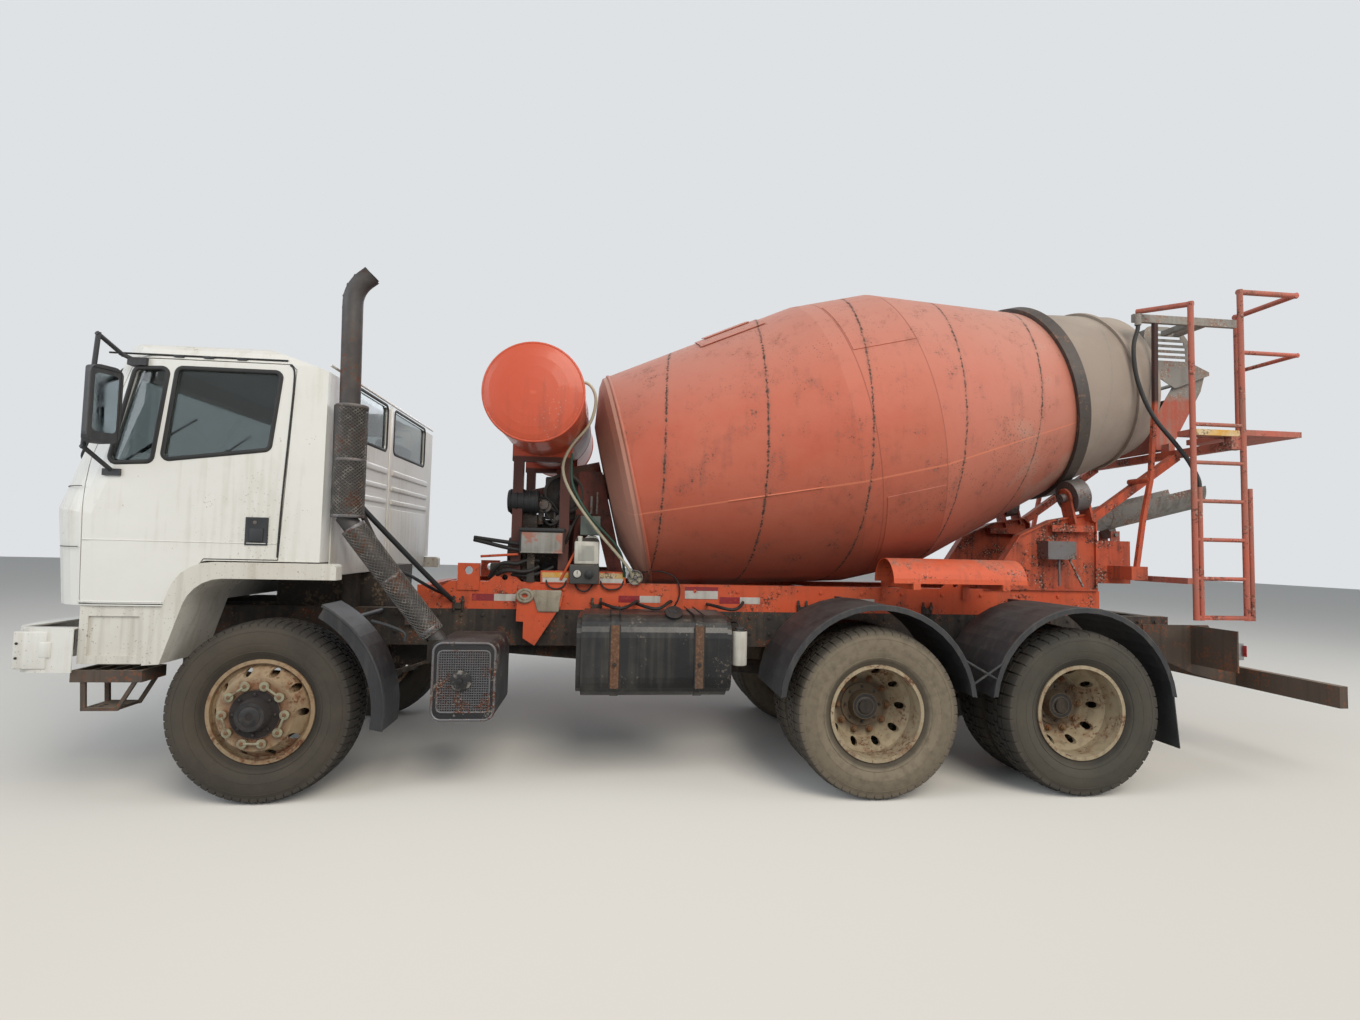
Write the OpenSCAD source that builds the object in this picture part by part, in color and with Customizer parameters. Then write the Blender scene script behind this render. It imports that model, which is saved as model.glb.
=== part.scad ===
/* [Layout] */
// Front axle to the first rear axle
wheelbase = 3640; // [3400:10:4000]
// First rear axle to the second rear axle
tandem_spacing = 1350; // [1300:10:1450]
// Front axle to the face of the bumper
front_overhang = 1350; // [1330:10:1410]
// Second rear axle to the rear ends of the chassis rails
rail_overhang = 1300; // [1250:10:1400]
// Rear ends of the rails to the rear face of the underrun bar
underrun_reach = 620; // [560:10:700]

/* [Wheels] */
// Outer diameter of a tyre
tyre_d = 1044; // [1020:2:1060]
// Width of a tyre at its widest
tyre_w = 298; // [280:2:310]
// Seat diameter of a rim
rim_d = 571.5; // [495.3:25.4:622.3]
// Height of a rim's flange over its seat
rim_flange = 12.7; // [10:0.1:16]
// Thickness of a rim's flange
flange_t = 11; // [9:0.5:14]
// Width of a rim between its flanges
rim_w = 209.5; // [205:0.5:215]
// Wall of a rim
rim_wall = 9; // [7:0.5:12]
// Middle of a rim to the face of its disc
disc_offset = 168; // [160:1:172]
// Thickness of a wheel disc
disc_t = 12; // [10:1:14]
// Diameter of the flat of a wheel disc
disc_flat_d = 400; // [390:2:420]
// Circle of the hand holes in a disc
hand_hole_pcd = 470; // [466:1:474]
// Diameter of a hand hole
hand_hole_d = 46; // [30:1:52]
// Middle of the left front tyre to the middle of the right one
front_track = 1960; // [1940:5:1990]
// Middle of the left pair of tyres to the middle of the right pair
rear_track = 1840; // [1820:5:1860]
// Clearance between a tyre and its rim
tyre_fit = 0.3; // [0.2:0.05:0.5]
// Radial clearance of shafts that turn in bores
running_fit = 0.05; // [0.03:0.01:0.1]

/* [Hubs and steering] */
// Diameter of a hub at its face
hub_d = 278; // [260:1:280]
// Length that a hub stands out from its disc
hub_cap_h = 60; // [40:2:80]
// Diameter of a hub's cap
hub_cap_d = 190; // [160:2:210]
// Diameter of a brake drum
brake_d = 420; // [400:2:440]
// Width of a brake drum
brake_w = 190; // [170:2:200]
// Diameter of a stub axle
stub_d = 90; // [80:1:100]
// Length of a stub axle inside its hub
stub_l = 190; // [170:2:200]
// Middle of the truck to a kingpin
kingpin_y = 840; // [830:1:850]
// Diameter of a kingpin
kingpin_d = 50; // [44:1:56]
// Height of the axle's eye on a kingpin
kingpin_eye_h = 96; // [90:1:110]
// Height of a knuckle's yoke over its eye
yoke_h = 40; // [34:1:46]
// Diameter of a knuckle's yoke and the axle's eye
yoke_d = 104; // [96:1:112]
// Length of a track rod arm to its eye
track_arm_l = 190; // [170:5:220]
// Diameter of the track rod
track_rod_d = 46; // [40:1:52]
// Diameter of a pin in the eye of the track rod
track_pin_d = 24; // [20:1:30]

/* [Chassis] */
// Height of a chassis rail
rail_h = 250; // [230:5:280]
// Width of a rail's flange
rail_flange = 75; // [70:1:90]
// Thickness of a rail
rail_t = 8; // [6:1:10]
// Middle of the truck to the outer face of a rail
rail_y = 430; // [420:1:440]
// Height of the rails' top over the ground
rail_top = 1062; // [1050:2:1080]
// Front axle to the front ends of the rails
rail_front = 1190; // [1150:5:1230]
// Height of a cross member
cross_h = 120; // [100:5:140]
// Length of a cross member along the truck
cross_l = 90; // [70:5:110]
// Thickness of a spring pack under the rails
spring_pack_h = 92; // [80:2:110]
// Width of a leaf spring
spring_w = 76; // [70:2:90]
// Half of the length of a front spring
front_spring_half = 780; // [740:10:800]
// Height of the front axle's beam
beam_h = 92; // [80:2:110]
// Width of the front axle's beam
beam_w = 96; // [80:2:110]
// Diameter of a rear axle's tube
axle_tube_d = 170; // [150:2:190]
// Diameter of a rear axle's final drive bowl
bowl_d = 440; // [400:5:460]
// Diameter of a propeller shaft
prop_d = 110; // [90:2:130]

/* [Cab] */
// Width of the cab
cab_w = 2330; // [2290:10:2370]
// Thickness of the cab's walls and doors
cab_wall = 45; // [35:1:55]
// Front axle to the rear wall of the cab
cab_rear = 310; // [290:2:320]
// Height of the cab's floor at the footwell
cab_floor = 1125; // [1115:1:1135]
// Height of the cab's sides over the wheel
cab_arch_floor = 1385; // [1375:1:1395]
// Height of the seam between the walls and the roof
roof_seam = 2552; // [2545:1:2560]
// Rise of the roof over its seam
roof_rise = 84; // [70:2:100]
// Radius of the cab's front corners in plan
corner_r = 330; // [300:5:350]
// Forward bow of the front panel at its middle
front_bow = 40; // [30:1:50]
// Gap round a door
door_gap = 6; // [5:0.5:8]
// Thickness of the cab's glass
glass_t = 6; // [4:0.5:8]
// Gap round a pane of glass
glass_gap = 1; // [0.5:0.5:3]
// Width of a wheel arch's lip
arch_lip = 92; // [80:2:100]
// Width that an arch stands out from the cab's side
arch_proud = 28; // [20:1:40]
// Thickness of an arch's sheet
arch_t = 6; // [4:1:8]
// Height of the cab's tilt hinge
tilt_z = 1085; // [1082:1:1088]
// Front axle to the cab's tilt hinge
tilt_x = 1240; // [1235:1:1245]
// Diameter of the cab's tilt pins
tilt_pin_d = 40; // [34:1:46]

/* [Cab fittings] */
// Height of the bumper's lower edge
bumper_z = 755; // [740:5:770]
// Height of the bumper
bumper_h = 245; // [235:5:255]
// How far the bumper's ends stand out from the cab's sides
bumper_proud = 10; // [0:2:20]
// Depth of the bumper's ends along the truck
bumper_depth = 400; // [360:5:430]
// Thickness of the bumper's shell
bumper_t = 8; // [6:1:12]
// Height of the step's tread
step_z = 765; // [755:1:768]
// Length of the step along the truck
step_l = 370; // [340:5:380]
// Depth of the step across the truck
step_w = 210; // [190:5:230]
// Side of the cab to the middle of a mirror
mirror_out = 165; // [150:5:185]
// Height of a mirror's head
mirror_h = 420; // [400:5:440]
// Width of a mirror's head
mirror_w = 170; // [150:5:190]
// Depth of a mirror's head
mirror_d = 72; // [60:2:90]
// Diameter of a mirror's arm
mirror_arm_d = 24; // [20:1:30]

/* [Tanks and exhaust] */
// Front axle to the front end of the fuel tank
fuel_x = 1785; // [1770:5:1800]
// Length of the fuel tank
fuel_l = 960; // [900:10:980]
// Height of the fuel tank
fuel_h = 500; // [470:5:520]
// Depth of the fuel tank across the truck
fuel_w = 560; // [520:5:580]
// Rail to the inner side of the fuel tank
fuel_gap = 110; // [100:5:120]
// Height of the fuel tank's underside
fuel_z = 590; // [570:5:600]
// Front axle to the front of the silencer box
silencer_x = 950; // [940:5:970]
// Length of the silencer box along the truck
silencer_l = 370; // [350:5:390]
// Height of the silencer box
silencer_h = 460; // [440:5:480]
// Depth of the silencer box across the truck
silencer_w = 520; // [480:5:540]
// Height of the silencer box's underside
silencer_z = 470; // [460:5:480]
// Diameter of the exhaust pipe
exhaust_d = 106; // [96:1:116]
// Diameter of the exhaust's heat shields
shield_d = 172; // [160:1:180]
// Front axle to the upright exhaust pipe
exhaust_x = 425; // [420:1:440]
// Middle of the truck to the upright exhaust pipe
exhaust_y = 1095; // [1085:1:1100]
// Diameter of the water tank
water_d = 620; // [600:5:625]
// Length of the water tank's shell
water_l = 2140; // [2000:10:2200]
// Bulge of the water tank's ends
water_bulge = 45; // [30:1:60]
// Front axle to the water tank
water_x = 1480; // [1460:2:1484]
// Height of the water tank's axis
water_z = 2455; // [2440:5:2480]

/* [Drum] */
// Tilt of the drum's axis
drum_tilt = 13.1; // [12.5:0.1:13.4]
// Front axle to the drum's front rim on its axis
drum_x = 2065; // [2055:5:2100]
// Height of the drum's axis at its front rim
drum_z = 2005; // [2000:1:2020]
// Diameter of the drum's front rim
drum_front_d = 1630; // [1600:10:1650]
// Largest diameter of the drum
drum_d = 2186; // [2160:2:2196]
// Bulge of the drum's front head
head_bulge = 131; // [115:1:140]
// Diameter of the flat of the drum's front head
head_flat_d = 940; // [900:10:960]
// Length of the drum's front cone
front_cone_l = 1510; // [1480:10:1530]
// Length of the drum's middle
drum_middle_l = 575; // [550:5:600]
// Length of the drum's rear cone
rear_cone_l = 2065; // [2040:5:2085]
// Diameter of the drum under its roller ring
drum_waist_d = 1500; // [1490:2:1510]
// Diameter of the drum's mouth
mouth_d = 1180; // [1150:10:1190]
// Thickness of the drum's shell
drum_wall = 8; // [6:1:10]
// Front rim to the middle of the roller ring, along the axis
ring_s = 3343; // [3335:1:3350]
// Outer diameter of the roller ring
ring_d = 1590; // [1584:1:1596]
// Width of the roller ring
ring_w = 92; // [80:1:100]
// Diameter of a support roller
roller_d = 250; // [240:1:256]
// Width of a support roller
roller_w = 110; // [100:1:120]
// Diameter of a support roller's shaft
roller_shaft_d = 70; // [60:1:80]
// Angle of a support roller to the side of the drum's keel
roller_angle = 29; // [27:0.5:31]
// Gap between the ring and a roller
roller_gap = 0.3; // [0.2:0.05:0.5]

/* [Mixer frame] */
// Height of a mixer frame rail
sub_h = 190; // [180:2:200]
// Front axle to the front ends of the mixer frame
sub_front = 620; // [600:5:640]
// Front axle to the rear ends of the mixer frame
sub_rear = 5720; // [5700:5:5760]
// Thickness of the mixer frame's plates
plate_t = 10; // [8:1:12]
// Radius of the eyes of the lifting lugs
lift_eye_r = 20; // [16:1:24]
// Front axle to the front lifting lugs
lift_front_x = 1250; // [1220:5:1280]
// Front axle to the rear lifting lugs
lift_rear_x = 4560; // [4520:5:4600]

/* [Ladder] */
// Middle of the truck to the ladder
ladder_y = 950; // [930:5:970]
// Front axle to the ladder's front rail
ladder_x = 6040; // [6020:5:6060]
// Width between the ladder's rails
ladder_w = 390; // [370:5:410]
// Diameter of the ladder's tubes
ladder_d = 38; // [34:1:42]
// Height of the ladder's lower end
ladder_z = 1090; // [1060:5:1120]
// Spacing of the ladder's rungs
rung_pitch = 272; // [260:2:280]
// Height of the platform
platform_z = 2440; // [2420:5:2460]
// Length of the platform behind the ladder
platform_l = 440; // [420:5:460]
// Width of the platform
platform_w = 460; // [440:5:480]
// Height of the handrail over the platform
handrail_h = 1000; // [900:10:1050]

/* [Chute] */
// Front axle to the chute's slewing post
chute_x = 6150; // [6120:5:6180]
// Height of the chute's lift hinge
chute_z = 1700; // [1680:5:1740]
// Length of the chute
chute_l = 800; // [700:10:820]
// Radius of the chute's trough
chute_r = 190; // [170:5:200]
// Thickness of the chute's sheet
chute_t = 5; // [4:1:6]
// Rise of the stowed chute to the rear
chute_rest = 14; // [8:1:16]
// Diameter of the slewing post
slew_d = 90; // [80:1:100]
// Diameter of the chute's lift pin
lift_pin_d = 30; // [26:1:34]

/* [Mudguards] */
// Radius of a rear mudguard
guard_r = 625; // [615:5:640]
// Thickness of a rear mudguard
guard_t = 8; // [5:1:10]
// Half of the angle that a rear mudguard spans
guard_half = 84; // [70:1:88]
// Middle of the truck to the outer edge of a rear mudguard
guard_y = 1248; // [1243:1:1250]

/* [Hidden] */

axle_z = tyre_d / 2;
rear1_x = wheelbase;
rear2_x = wheelbase + tandem_spacing;
rail_end = rear2_x + rail_overhang;
rear_reach = rail_end + underrun_reach;
front_axle_x = (front_overhang - rear_reach) / 2;
rail_bottom = rail_top - rail_h;
sub_top = rail_top + sub_h;
cab_y = cab_w / 2;

function unit(v) = v / norm(v);

// An arc of n + 1 points that rounds corner p, between corners a and b, to radius r
function corner_arc(a, p, b, r, n) =
  let (u = unit(a - p), v = unit(b - p), half = acos(u * v) / 2, c = p + unit(u + v) * r / sin(half))
  let (s = p + u * r / tan(half) - c, e = p + v * r / tan(half) - c)
  let (a0 = atan2(s.y, s.x), turn = atan2(e.y, e.x) - a0,
    d = turn > 180 ? turn - 360 : turn < -180 ? turn + 360 : turn)
  [for (i = [0:n]) c + r * [cos(a0 + d * i / n), sin(a0 + d * i / n)]];

// An outline from corners [across, up, radius]
function outline(corners, n = 5) = let (m = len(corners))
  [for (i = [0:m - 1])
    let (p = corners[i], a = corners[(i + m - 1) % m], b = corners[(i + 1) % m])
    each p[2] > 0 ? corner_arc([a.x, a.y], [p.x, p.y], [b.x, b.y], p[2], n) : [[p.x, p.y]]];

// Moves every side of an anticlockwise outline inwards by t
function inset(pts, t) = let (m = len(pts))
  [for (i = [0:m - 1])
    let (e = unit(pts[i] - pts[(i + m - 1) % m]), f = unit(pts[(i + 1) % m] - pts[i]))
    let (n1 = [-e.y, e.x], n2 = [-f.y, f.x])
    pts[i] + (n1 + n2) * t / (1 + n1 * n2)];

module at_axle() translate([front_axle_x, 0, 0]) children();
module along_x(x0, x1) translate([x0, 0, 0]) rotate([90, 0, 90]) linear_extrude(x1 - x0) children();
module along_y(y0, y1) translate([0, y1, 0]) rotate([90, 0, 0]) linear_extrude(y1 - y0) children();
module along_z(z0, z1) translate([0, 0, z0]) linear_extrude(z1 - z0) children();
module block(x, y, z) translate([x[0], y[0], z[0]]) cube([x[1] - x[0], y[1] - y[0], z[1] - z[0]]);
module both_sides() {
  children();
  mirror([0, 1, 0]) children();
}
module rod(a, b, d) {
  v = b - a;
  translate(a) rotate([0, acos(v.z / norm(v)), atan2(v.y, v.x)]) cylinder(h = norm(v), d = d, $fn = 32);
}
module tube_path(points, d) {
  for (i = [0:len(points) - 2]) {
    over = unit(points[i + 1] - points[i]) * d * 0.45;
    rod(points[i] - (i > 0 ? over : [0, 0, 0]), points[i + 1] + (i < len(points) - 2 ? over : [0,
      0, 0]), d);
  }
}

// The chassis

cross_z = rail_top - rail_t - cross_h;
cross_xs = [-rail_front + 20, 1180, 2250, rear1_x - 330, (rear1_x + rear2_x - cross_l) / 2, rear2_x + 330,
  rail_end - 20 - cross_l];
tow_eye_r = 21;
tow_w = 160;
tow_h = 60;
tow_reach = 150;
tow_z = rail_bottom + 10;
cheek_ys = [rail_y - 55, rail_y - 5];
cheek_t = 10;
cheek_r = 28;
ear_w = cheek_ys[1] - cheek_ys[0] - cheek_t - 10;
ear_y = cheek_ys[0] + cheek_t + 5;
cab_post_x = [170, 260];
seat_gap = 0.3;

module chassis_rail() along_x(-rail_front, rail_end) polygon([
  [rail_y, rail_bottom], [rail_y, rail_top], [rail_y - rail_flange, rail_top],
  [rail_y - rail_flange, rail_top - rail_t], [rail_y - rail_t, rail_top - rail_t],
  [rail_y - rail_t, rail_bottom + rail_t], [rail_y - rail_flange, rail_bottom + rail_t],
  [rail_y - rail_flange, rail_bottom]]);

// A towing plate with an upright eye; it points forward where side is -1
module tow_plate(x, side) {
  difference() {
    union() {
      block([x - cross_l / 2, x + cross_l / 2], [-rail_y + rail_t, rail_y - rail_t],
        [tow_z, tow_z + tow_h]);
      block(side < 0 ? [x - tow_reach, x] : [x, x + tow_reach], [-tow_w / 2, tow_w / 2],
        [tow_z, tow_z + tow_h]);
    }
    translate([x + side * (tow_reach - 45), 0, tow_z - 1]) cylinder(h = tow_h + 2, r = tow_eye_r,
      $fn = 48);
  }
}

module tilt_cheeks() {
  for (y = cheek_ys)
    along_y(y, y + cheek_t) polygon(outline([
      [-rail_front + 10, rail_top - 80, 0], [-rail_front + 100, rail_top - 80, 0],
      [-rail_front + 100, rail_top + 6, 0], [-tilt_x + 20, tilt_z + cheek_r, 10],
      [-tilt_x - cheek_r, tilt_z + cheek_r, 20], [-tilt_x - cheek_r, tilt_z - cheek_r, 20]]));
  translate([-tilt_x, cheek_ys[0], tilt_z]) rotate([-90, 0, 0])
    cylinder(h = cheek_ys[1] - cheek_ys[0] + cheek_t, d = tilt_pin_d, $fn = 48);
  block([-rail_front + 10, -rail_front + 100], [cheek_ys[0], cheek_ys[1]],
    [rail_top - 80, rail_top - rail_t]);
}

module chassis_frame() color("#2b2927") at_axle() {
  both_sides() {
    chassis_rail();
    tilt_cheeks();
    block(cab_post_x, [rail_y - rail_flange, rail_y], [rail_top, cab_arch_floor - seat_gap]);
  }
  for (x = cross_xs)
    block([x, x + cross_l], [-rail_y + rail_t, rail_y - rail_t], [cross_z, cross_z + cross_h]);
  tow_plate(-rail_front + cross_l / 2 + 8, -1);
  tow_plate(rail_end - cross_l / 2, 1);
}

beam_drop = 95;
beam_flat = 620;
beam_z = axle_z - beam_drop;
beam_top = beam_z + beam_h / 2;
beam_web = 36;
spring_y = rail_y - spring_w / 2;
stub_gap = 6;

module front_axle() color("#3a3532") at_axle() {
  eye = kingpin_eye_h / 2;
  half = beam_h / 2;
  difference() {
    along_x(-beam_w / 2, beam_w / 2) polygon([
      [-kingpin_y, axle_z - eye], [-kingpin_y + 60, axle_z - eye], [-beam_flat, beam_z - half],
      [beam_flat, beam_z - half], [kingpin_y - 60, axle_z - eye], [kingpin_y, axle_z - eye],
      [kingpin_y, axle_z + eye], [kingpin_y - 60, axle_z + eye], [beam_flat, beam_z + half],
      [-beam_flat, beam_z + half], [-kingpin_y + 60, axle_z + eye], [-kingpin_y, axle_z + eye]]);
    for (x = [[-beam_w, -beam_web / 2], [beam_web / 2, beam_w]])
      block(x, [-beam_flat + 20, beam_flat - 20], [beam_z - half + 18, beam_z + half - 18]);
  }
  both_sides() translate([0, kingpin_y, axle_z - eye]) {
    cylinder(h = kingpin_eye_h, d = yoke_d, $fn = 48);
    translate([0, 0, -yoke_h - stub_gap])
      cylinder(h = kingpin_eye_h + 2 * (yoke_h + stub_gap), d = kingpin_d, $fn = 48);
  }
}

diff_nose_l = 330;
seat_rise = 5;
prop_z = 690;
gearbox_end = 1150;
rear_tube_y = rear_track / 2 - disc_t - brake_w - 12;

module axle_with_bowl(x) translate([x, 0, axle_z]) {
  rotate([90, 0, 0]) translate([0, 0, -rear_tube_y]) cylinder(h = 2 * rear_tube_y, d = axle_tube_d,
    $fn = 48);
  sphere(d = bowl_d, $fn = 48);
  rod([0, 0, 60], [-diff_nose_l, 0, 60], 190);
  both_sides() rod([0, rear_tube_y - 1, 0], [0, rear_track / 2 + stub_l / 2, 0], stub_d);
  both_sides() block([-60, 60], [spring_y - spring_w / 2, spring_y + spring_w / 2],
    [axle_tube_d / 2 - 12, axle_tube_d / 2 + seat_rise]);
}

module rear_axles() color("#3a3532") at_axle() {
  axle_with_bowl(rear1_x);
  axle_with_bowl(rear2_x);
  rod([gearbox_end + 10, 0, prop_z + 60], [rear1_x - diff_nose_l + 2, 0, axle_z + 60], prop_d);
  rod([rear1_x + 100, 0, axle_z + 60], [rear2_x - diff_nose_l + 2, 0, axle_z + 60], prop_d);
}

leaf_n = 6;
leaf_t = spring_pack_h / leaf_n;
front_spring_rise = 150;
rear_spring_half = tandem_spacing / 2 + 60;
rear_spring_drop = 103;
hanger_l = 70;
torque_rod_d = 54;
torque_rod_z = 430;

// One end of a pack, leaf by leaf away from the main one: the outline steps in under each shorter leaf
function leaf_end(half, side, from, step) = [for (i = [0:leaf_n - 1], k = [i == 0 ? 1 : 0 : 1])
  [side * half * (1 - 0.14 * i), from + step * (i + k)]];

function back(list) = [for (i = [len(list) - 1:-1:0]) list[i]];

module spring_pack(half, z, rise, up) {
  from = z + (up ? spring_pack_h : 0);
  step = up ? -leaf_t : leaf_t;
  flat = concat([for (i = [0:12]) [-half + i * half / 6, from]], leaf_end(half, 1, from, step),
    back(leaf_end(half, -1, from, step)));
  along_y(spring_y - spring_w / 2, spring_y + spring_w / 2)
    polygon([for (q = flat) [q[0], q[1] + rise * pow(q[0] / half, 2)]]);
}

rear_mid_x = (rear1_x + rear2_x) / 2;
rear_spring_z = axle_z + axle_tube_d / 2 + seat_rise + seat_gap + rear_spring_drop;

module leaf_springs() color("#3b3129") at_axle() both_sides() {
  y = [spring_y - spring_w / 2, spring_y + spring_w / 2];
  spring_pack(front_spring_half, beam_top, front_spring_rise, true);
  for (x = [-front_spring_half, front_spring_half])
    block([x - hanger_l / 2, x + hanger_l / 2], y,
      [beam_top + front_spring_rise + spring_pack_h - 30, rail_bottom]);
  translate([rear_mid_x, 0, 0]) {
    spring_pack(rear_spring_half, rear_spring_z, -rear_spring_drop, false);
    block([-110, 110], y, [rear_spring_z + spring_pack_h - 12, rail_bottom]);
    along_y(y[0], y[1]) polygon([[-80, rear_spring_z + 14], [-50, torque_rod_z - 40],
      [50, torque_rod_z - 40],
      [80, rear_spring_z + 14]]);
    for (side = [-1, 1])
      rod([0, spring_y, torque_rod_z],
        [side * (tandem_spacing / 2 - axle_tube_d / 2 - 6), spring_y, torque_rod_z + 60],
          torque_rod_d);
  }
}

engine_y = 300;
module engine() color("#45484a") at_axle() {
  block([-310, 420], [-engine_y, engine_y], [700, 1340]);
  block([-740, -309], [-engine_y, engine_y], [700, 1080]);
  block([419, gearbox_end], [-180, 180], [640, 900]);
  both_sides() block([60, 140], [engine_y - 1, rail_y - rail_t - seat_gap], [860, 920]);
  both_sides() block([900, 960], [179, rail_y - rail_t - seat_gap], [800 + 30, 890]);
  block([-860, -800], [-330, 330], [700, 1095]);
  block([-801, -739], [-220, 220], [760, 860]);
}

// Mudguards: a quarter shell behind each front wheel and an arch over each pair of rear wheels

front_guard_r = [690, 705];
front_guard_y = [870, 1150];
front_guard_angles = [-8, 62];
rear_guard_y = [610, guard_y];
guard_z = axle_z + 42;
guard_lip = 30;
flap_t = 8;
flap_h = 330;

function ring_sector(r0, r1, a0, a1, n) = concat(
  [for (i = [0:n]) let (a = a0 + (a1 - a0) * i / n) r0 * [cos(a), sin(a)]],
  [for (i = [0:n]) let (a = a1 + (a0 - a1) * i / n) r1 * [cos(a), sin(a)]]);

module mudguards() color("#1c1d1f") at_axle() both_sides() {
  translate([0, 0, axle_z]) along_y(front_guard_y[0], front_guard_y[1])
    polygon(ring_sector(front_guard_r[0], front_guard_r[1], front_guard_angles[0],
      front_guard_angles[1], 12));
  rod([432, rail_y, axle_z + 520], [432, front_guard_y[1] - 20, axle_z + 520], 36);
  for (x = [rear1_x, rear2_x]) {
    translate([x, 0, guard_z]) {
      along_y(rear_guard_y[0], rear_guard_y[1])
        polygon(ring_sector(guard_r - guard_t, guard_r, 90 - guard_half, 90 + guard_half, 20));
      along_y(rear_guard_y[1] - guard_t, rear_guard_y[1])
        polygon(ring_sector(guard_r - guard_lip, guard_r - 3, 90.5 - guard_half, 89.5 + guard_half,
          20));
    }
    block([x - 15, x + 15], [rail_y, rear_guard_y[1] - 20],
      [guard_z + guard_r - guard_t - 24, guard_z + guard_r - guard_t + 3]);
  }
  translate([rear2_x, 0, guard_z]) rotate([0, guard_half - 90, 0])
    block([guard_r - flap_t, guard_r - 1], [rear_guard_y[0] + 20, rear_guard_y[1] - 20], [-flap_h, 4]);
}

// The bumper and what hangs at the frame's front

bumper_front = -front_overhang;
bumper_w = cab_w + 2 * bumper_proud;
module bumper_plan(t) polygon(inset(outline([
  [bumper_front + bumper_depth, -bumper_w / 2, 0], [bumper_front + bumper_depth, bumper_w / 2, 0],
  [bumper_front + 60, bumper_w / 2, 190], [bumper_front, bumper_w / 2 - 330, 400], [bumper_front, 0, 0],
  [bumper_front, -bumper_w / 2 + 330, 400], [bumper_front + 60, -bumper_w / 2, 190]]), t));

bumper_bracket_y = [rail_y - 60, rail_y];
lamp_w = 210;
lamp_h = 130;
headlamp_y = 830;
headlamp_z = bumper_z + bumper_h / 2;

module bumper_cut() {
  both_sides() block([bumper_front - 50, bumper_front + 110],
    [headlamp_y - lamp_w / 2, headlamp_y + lamp_w / 2],
    [headlamp_z - lamp_h / 2, headlamp_z + lamp_h / 2]);
  block([bumper_front - 10, bumper_front + 60], [-420, 420], [bumper_z + 70, bumper_z + 150]);
}

module bumper() color("#e9e8e4") at_axle() {
  difference() {
    along_z(bumper_z, bumper_z + bumper_h) bumper_plan(0);
    along_z(bumper_z - 1, bumper_z + bumper_h - bumper_t) bumper_plan(bumper_t);
    block([bumper_front + 100, bumper_front + bumper_depth + 10],
      [-bumper_w / 2 + 60, bumper_w / 2 - 60],
      [bumper_z - 2, bumper_z + bumper_h + 2]);
    block([bumper_front + bumper_depth - bumper_t - 1, bumper_front + bumper_depth + 10],
      [-bumper_w, bumper_w], [bumper_z - 2, bumper_z + bumper_h + 2]);
    bumper_cut();
  }
  both_sides() block([bumper_front + bumper_t - 2, -rail_front],
    bumper_bracket_y, [rail_bottom + 70, rail_bottom + 130]);
}

module lamps() color("#d9dde0") at_axle() {
  both_sides() block([bumper_front + 4, bumper_front + 80],
    [headlamp_y - lamp_w / 2 + seat_gap, headlamp_y + lamp_w / 2 - seat_gap],
    [headlamp_z - lamp_h / 2 + seat_gap, headlamp_z + lamp_h / 2 - seat_gap]);
  both_sides() block([lamp_plate_x[1] + seat_gap, lamp_plate_x[1] + 60],
    [lamp_plate_y - 340, lamp_plate_y - 20], [lamp_plate_z[0] + 90, lamp_plate_z[0] + 210]);
}

step_x = -975;
step_y = [cab_y - 10 - step_w, cab_y - 10];
step_drop = 215;

module cab_steps() color("#4a3a33") at_axle() both_sides() {
  difference() {
    block([step_x, step_x + step_l], step_y, [step_z - 65, step_z]);
    for (i = [0:3])
      block([step_x + 25 + i * 84, step_x + 90 + i * 84], [step_y[0] + 20, step_y[1] - 20],
        [step_z - 70, step_z + 1]);
  }
  for (y = [step_y[0] + 6, step_y[1] - 22])
    along_y(y, y + 16) difference() {
      polygon([[step_x + 48, step_z - 40], [step_x + 60, step_z - step_drop - 8],
        [step_x + 250, step_z - step_drop - 8], [step_x + step_l - 18, step_z - 40]]);
      polygon([[step_x + 74, step_z - 50], [step_x + 84, step_z - step_drop + 10],
        [step_x + 238, step_z - step_drop + 10], [step_x + step_l - 46, step_z - 50]]);
    }
  block([step_x + 68, step_x + 242], [step_y[0] + 14, step_y[1] - 14],
    [step_z - step_drop - 8, step_z - step_drop + 8]);
  block([step_x + 20, step_x + 80], [rail_y - rail_flange, step_y[0] + 1], [step_z - 55, step_z - 5]);
  block([step_x + 20, step_x + 80], [rail_y - rail_flange, rail_y],
    [step_z - 20, rail_bottom - seat_gap]);
}

// Tanks, silencer and exhaust

fuel_y = [rail_y + fuel_gap, rail_y + fuel_gap + fuel_w];
fuel_top = fuel_z + fuel_h;
fuel_strap_xs = [fuel_x + 235, fuel_x + fuel_l - 205];
strap_w = 50;

function d_outline(y0, y1, z0, z1, r_in, r_out) =
  outline([[y0, z0, r_in], [y1, z0, r_out], [y1, z1, r_out], [y0, z1, r_in]], 6);

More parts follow.
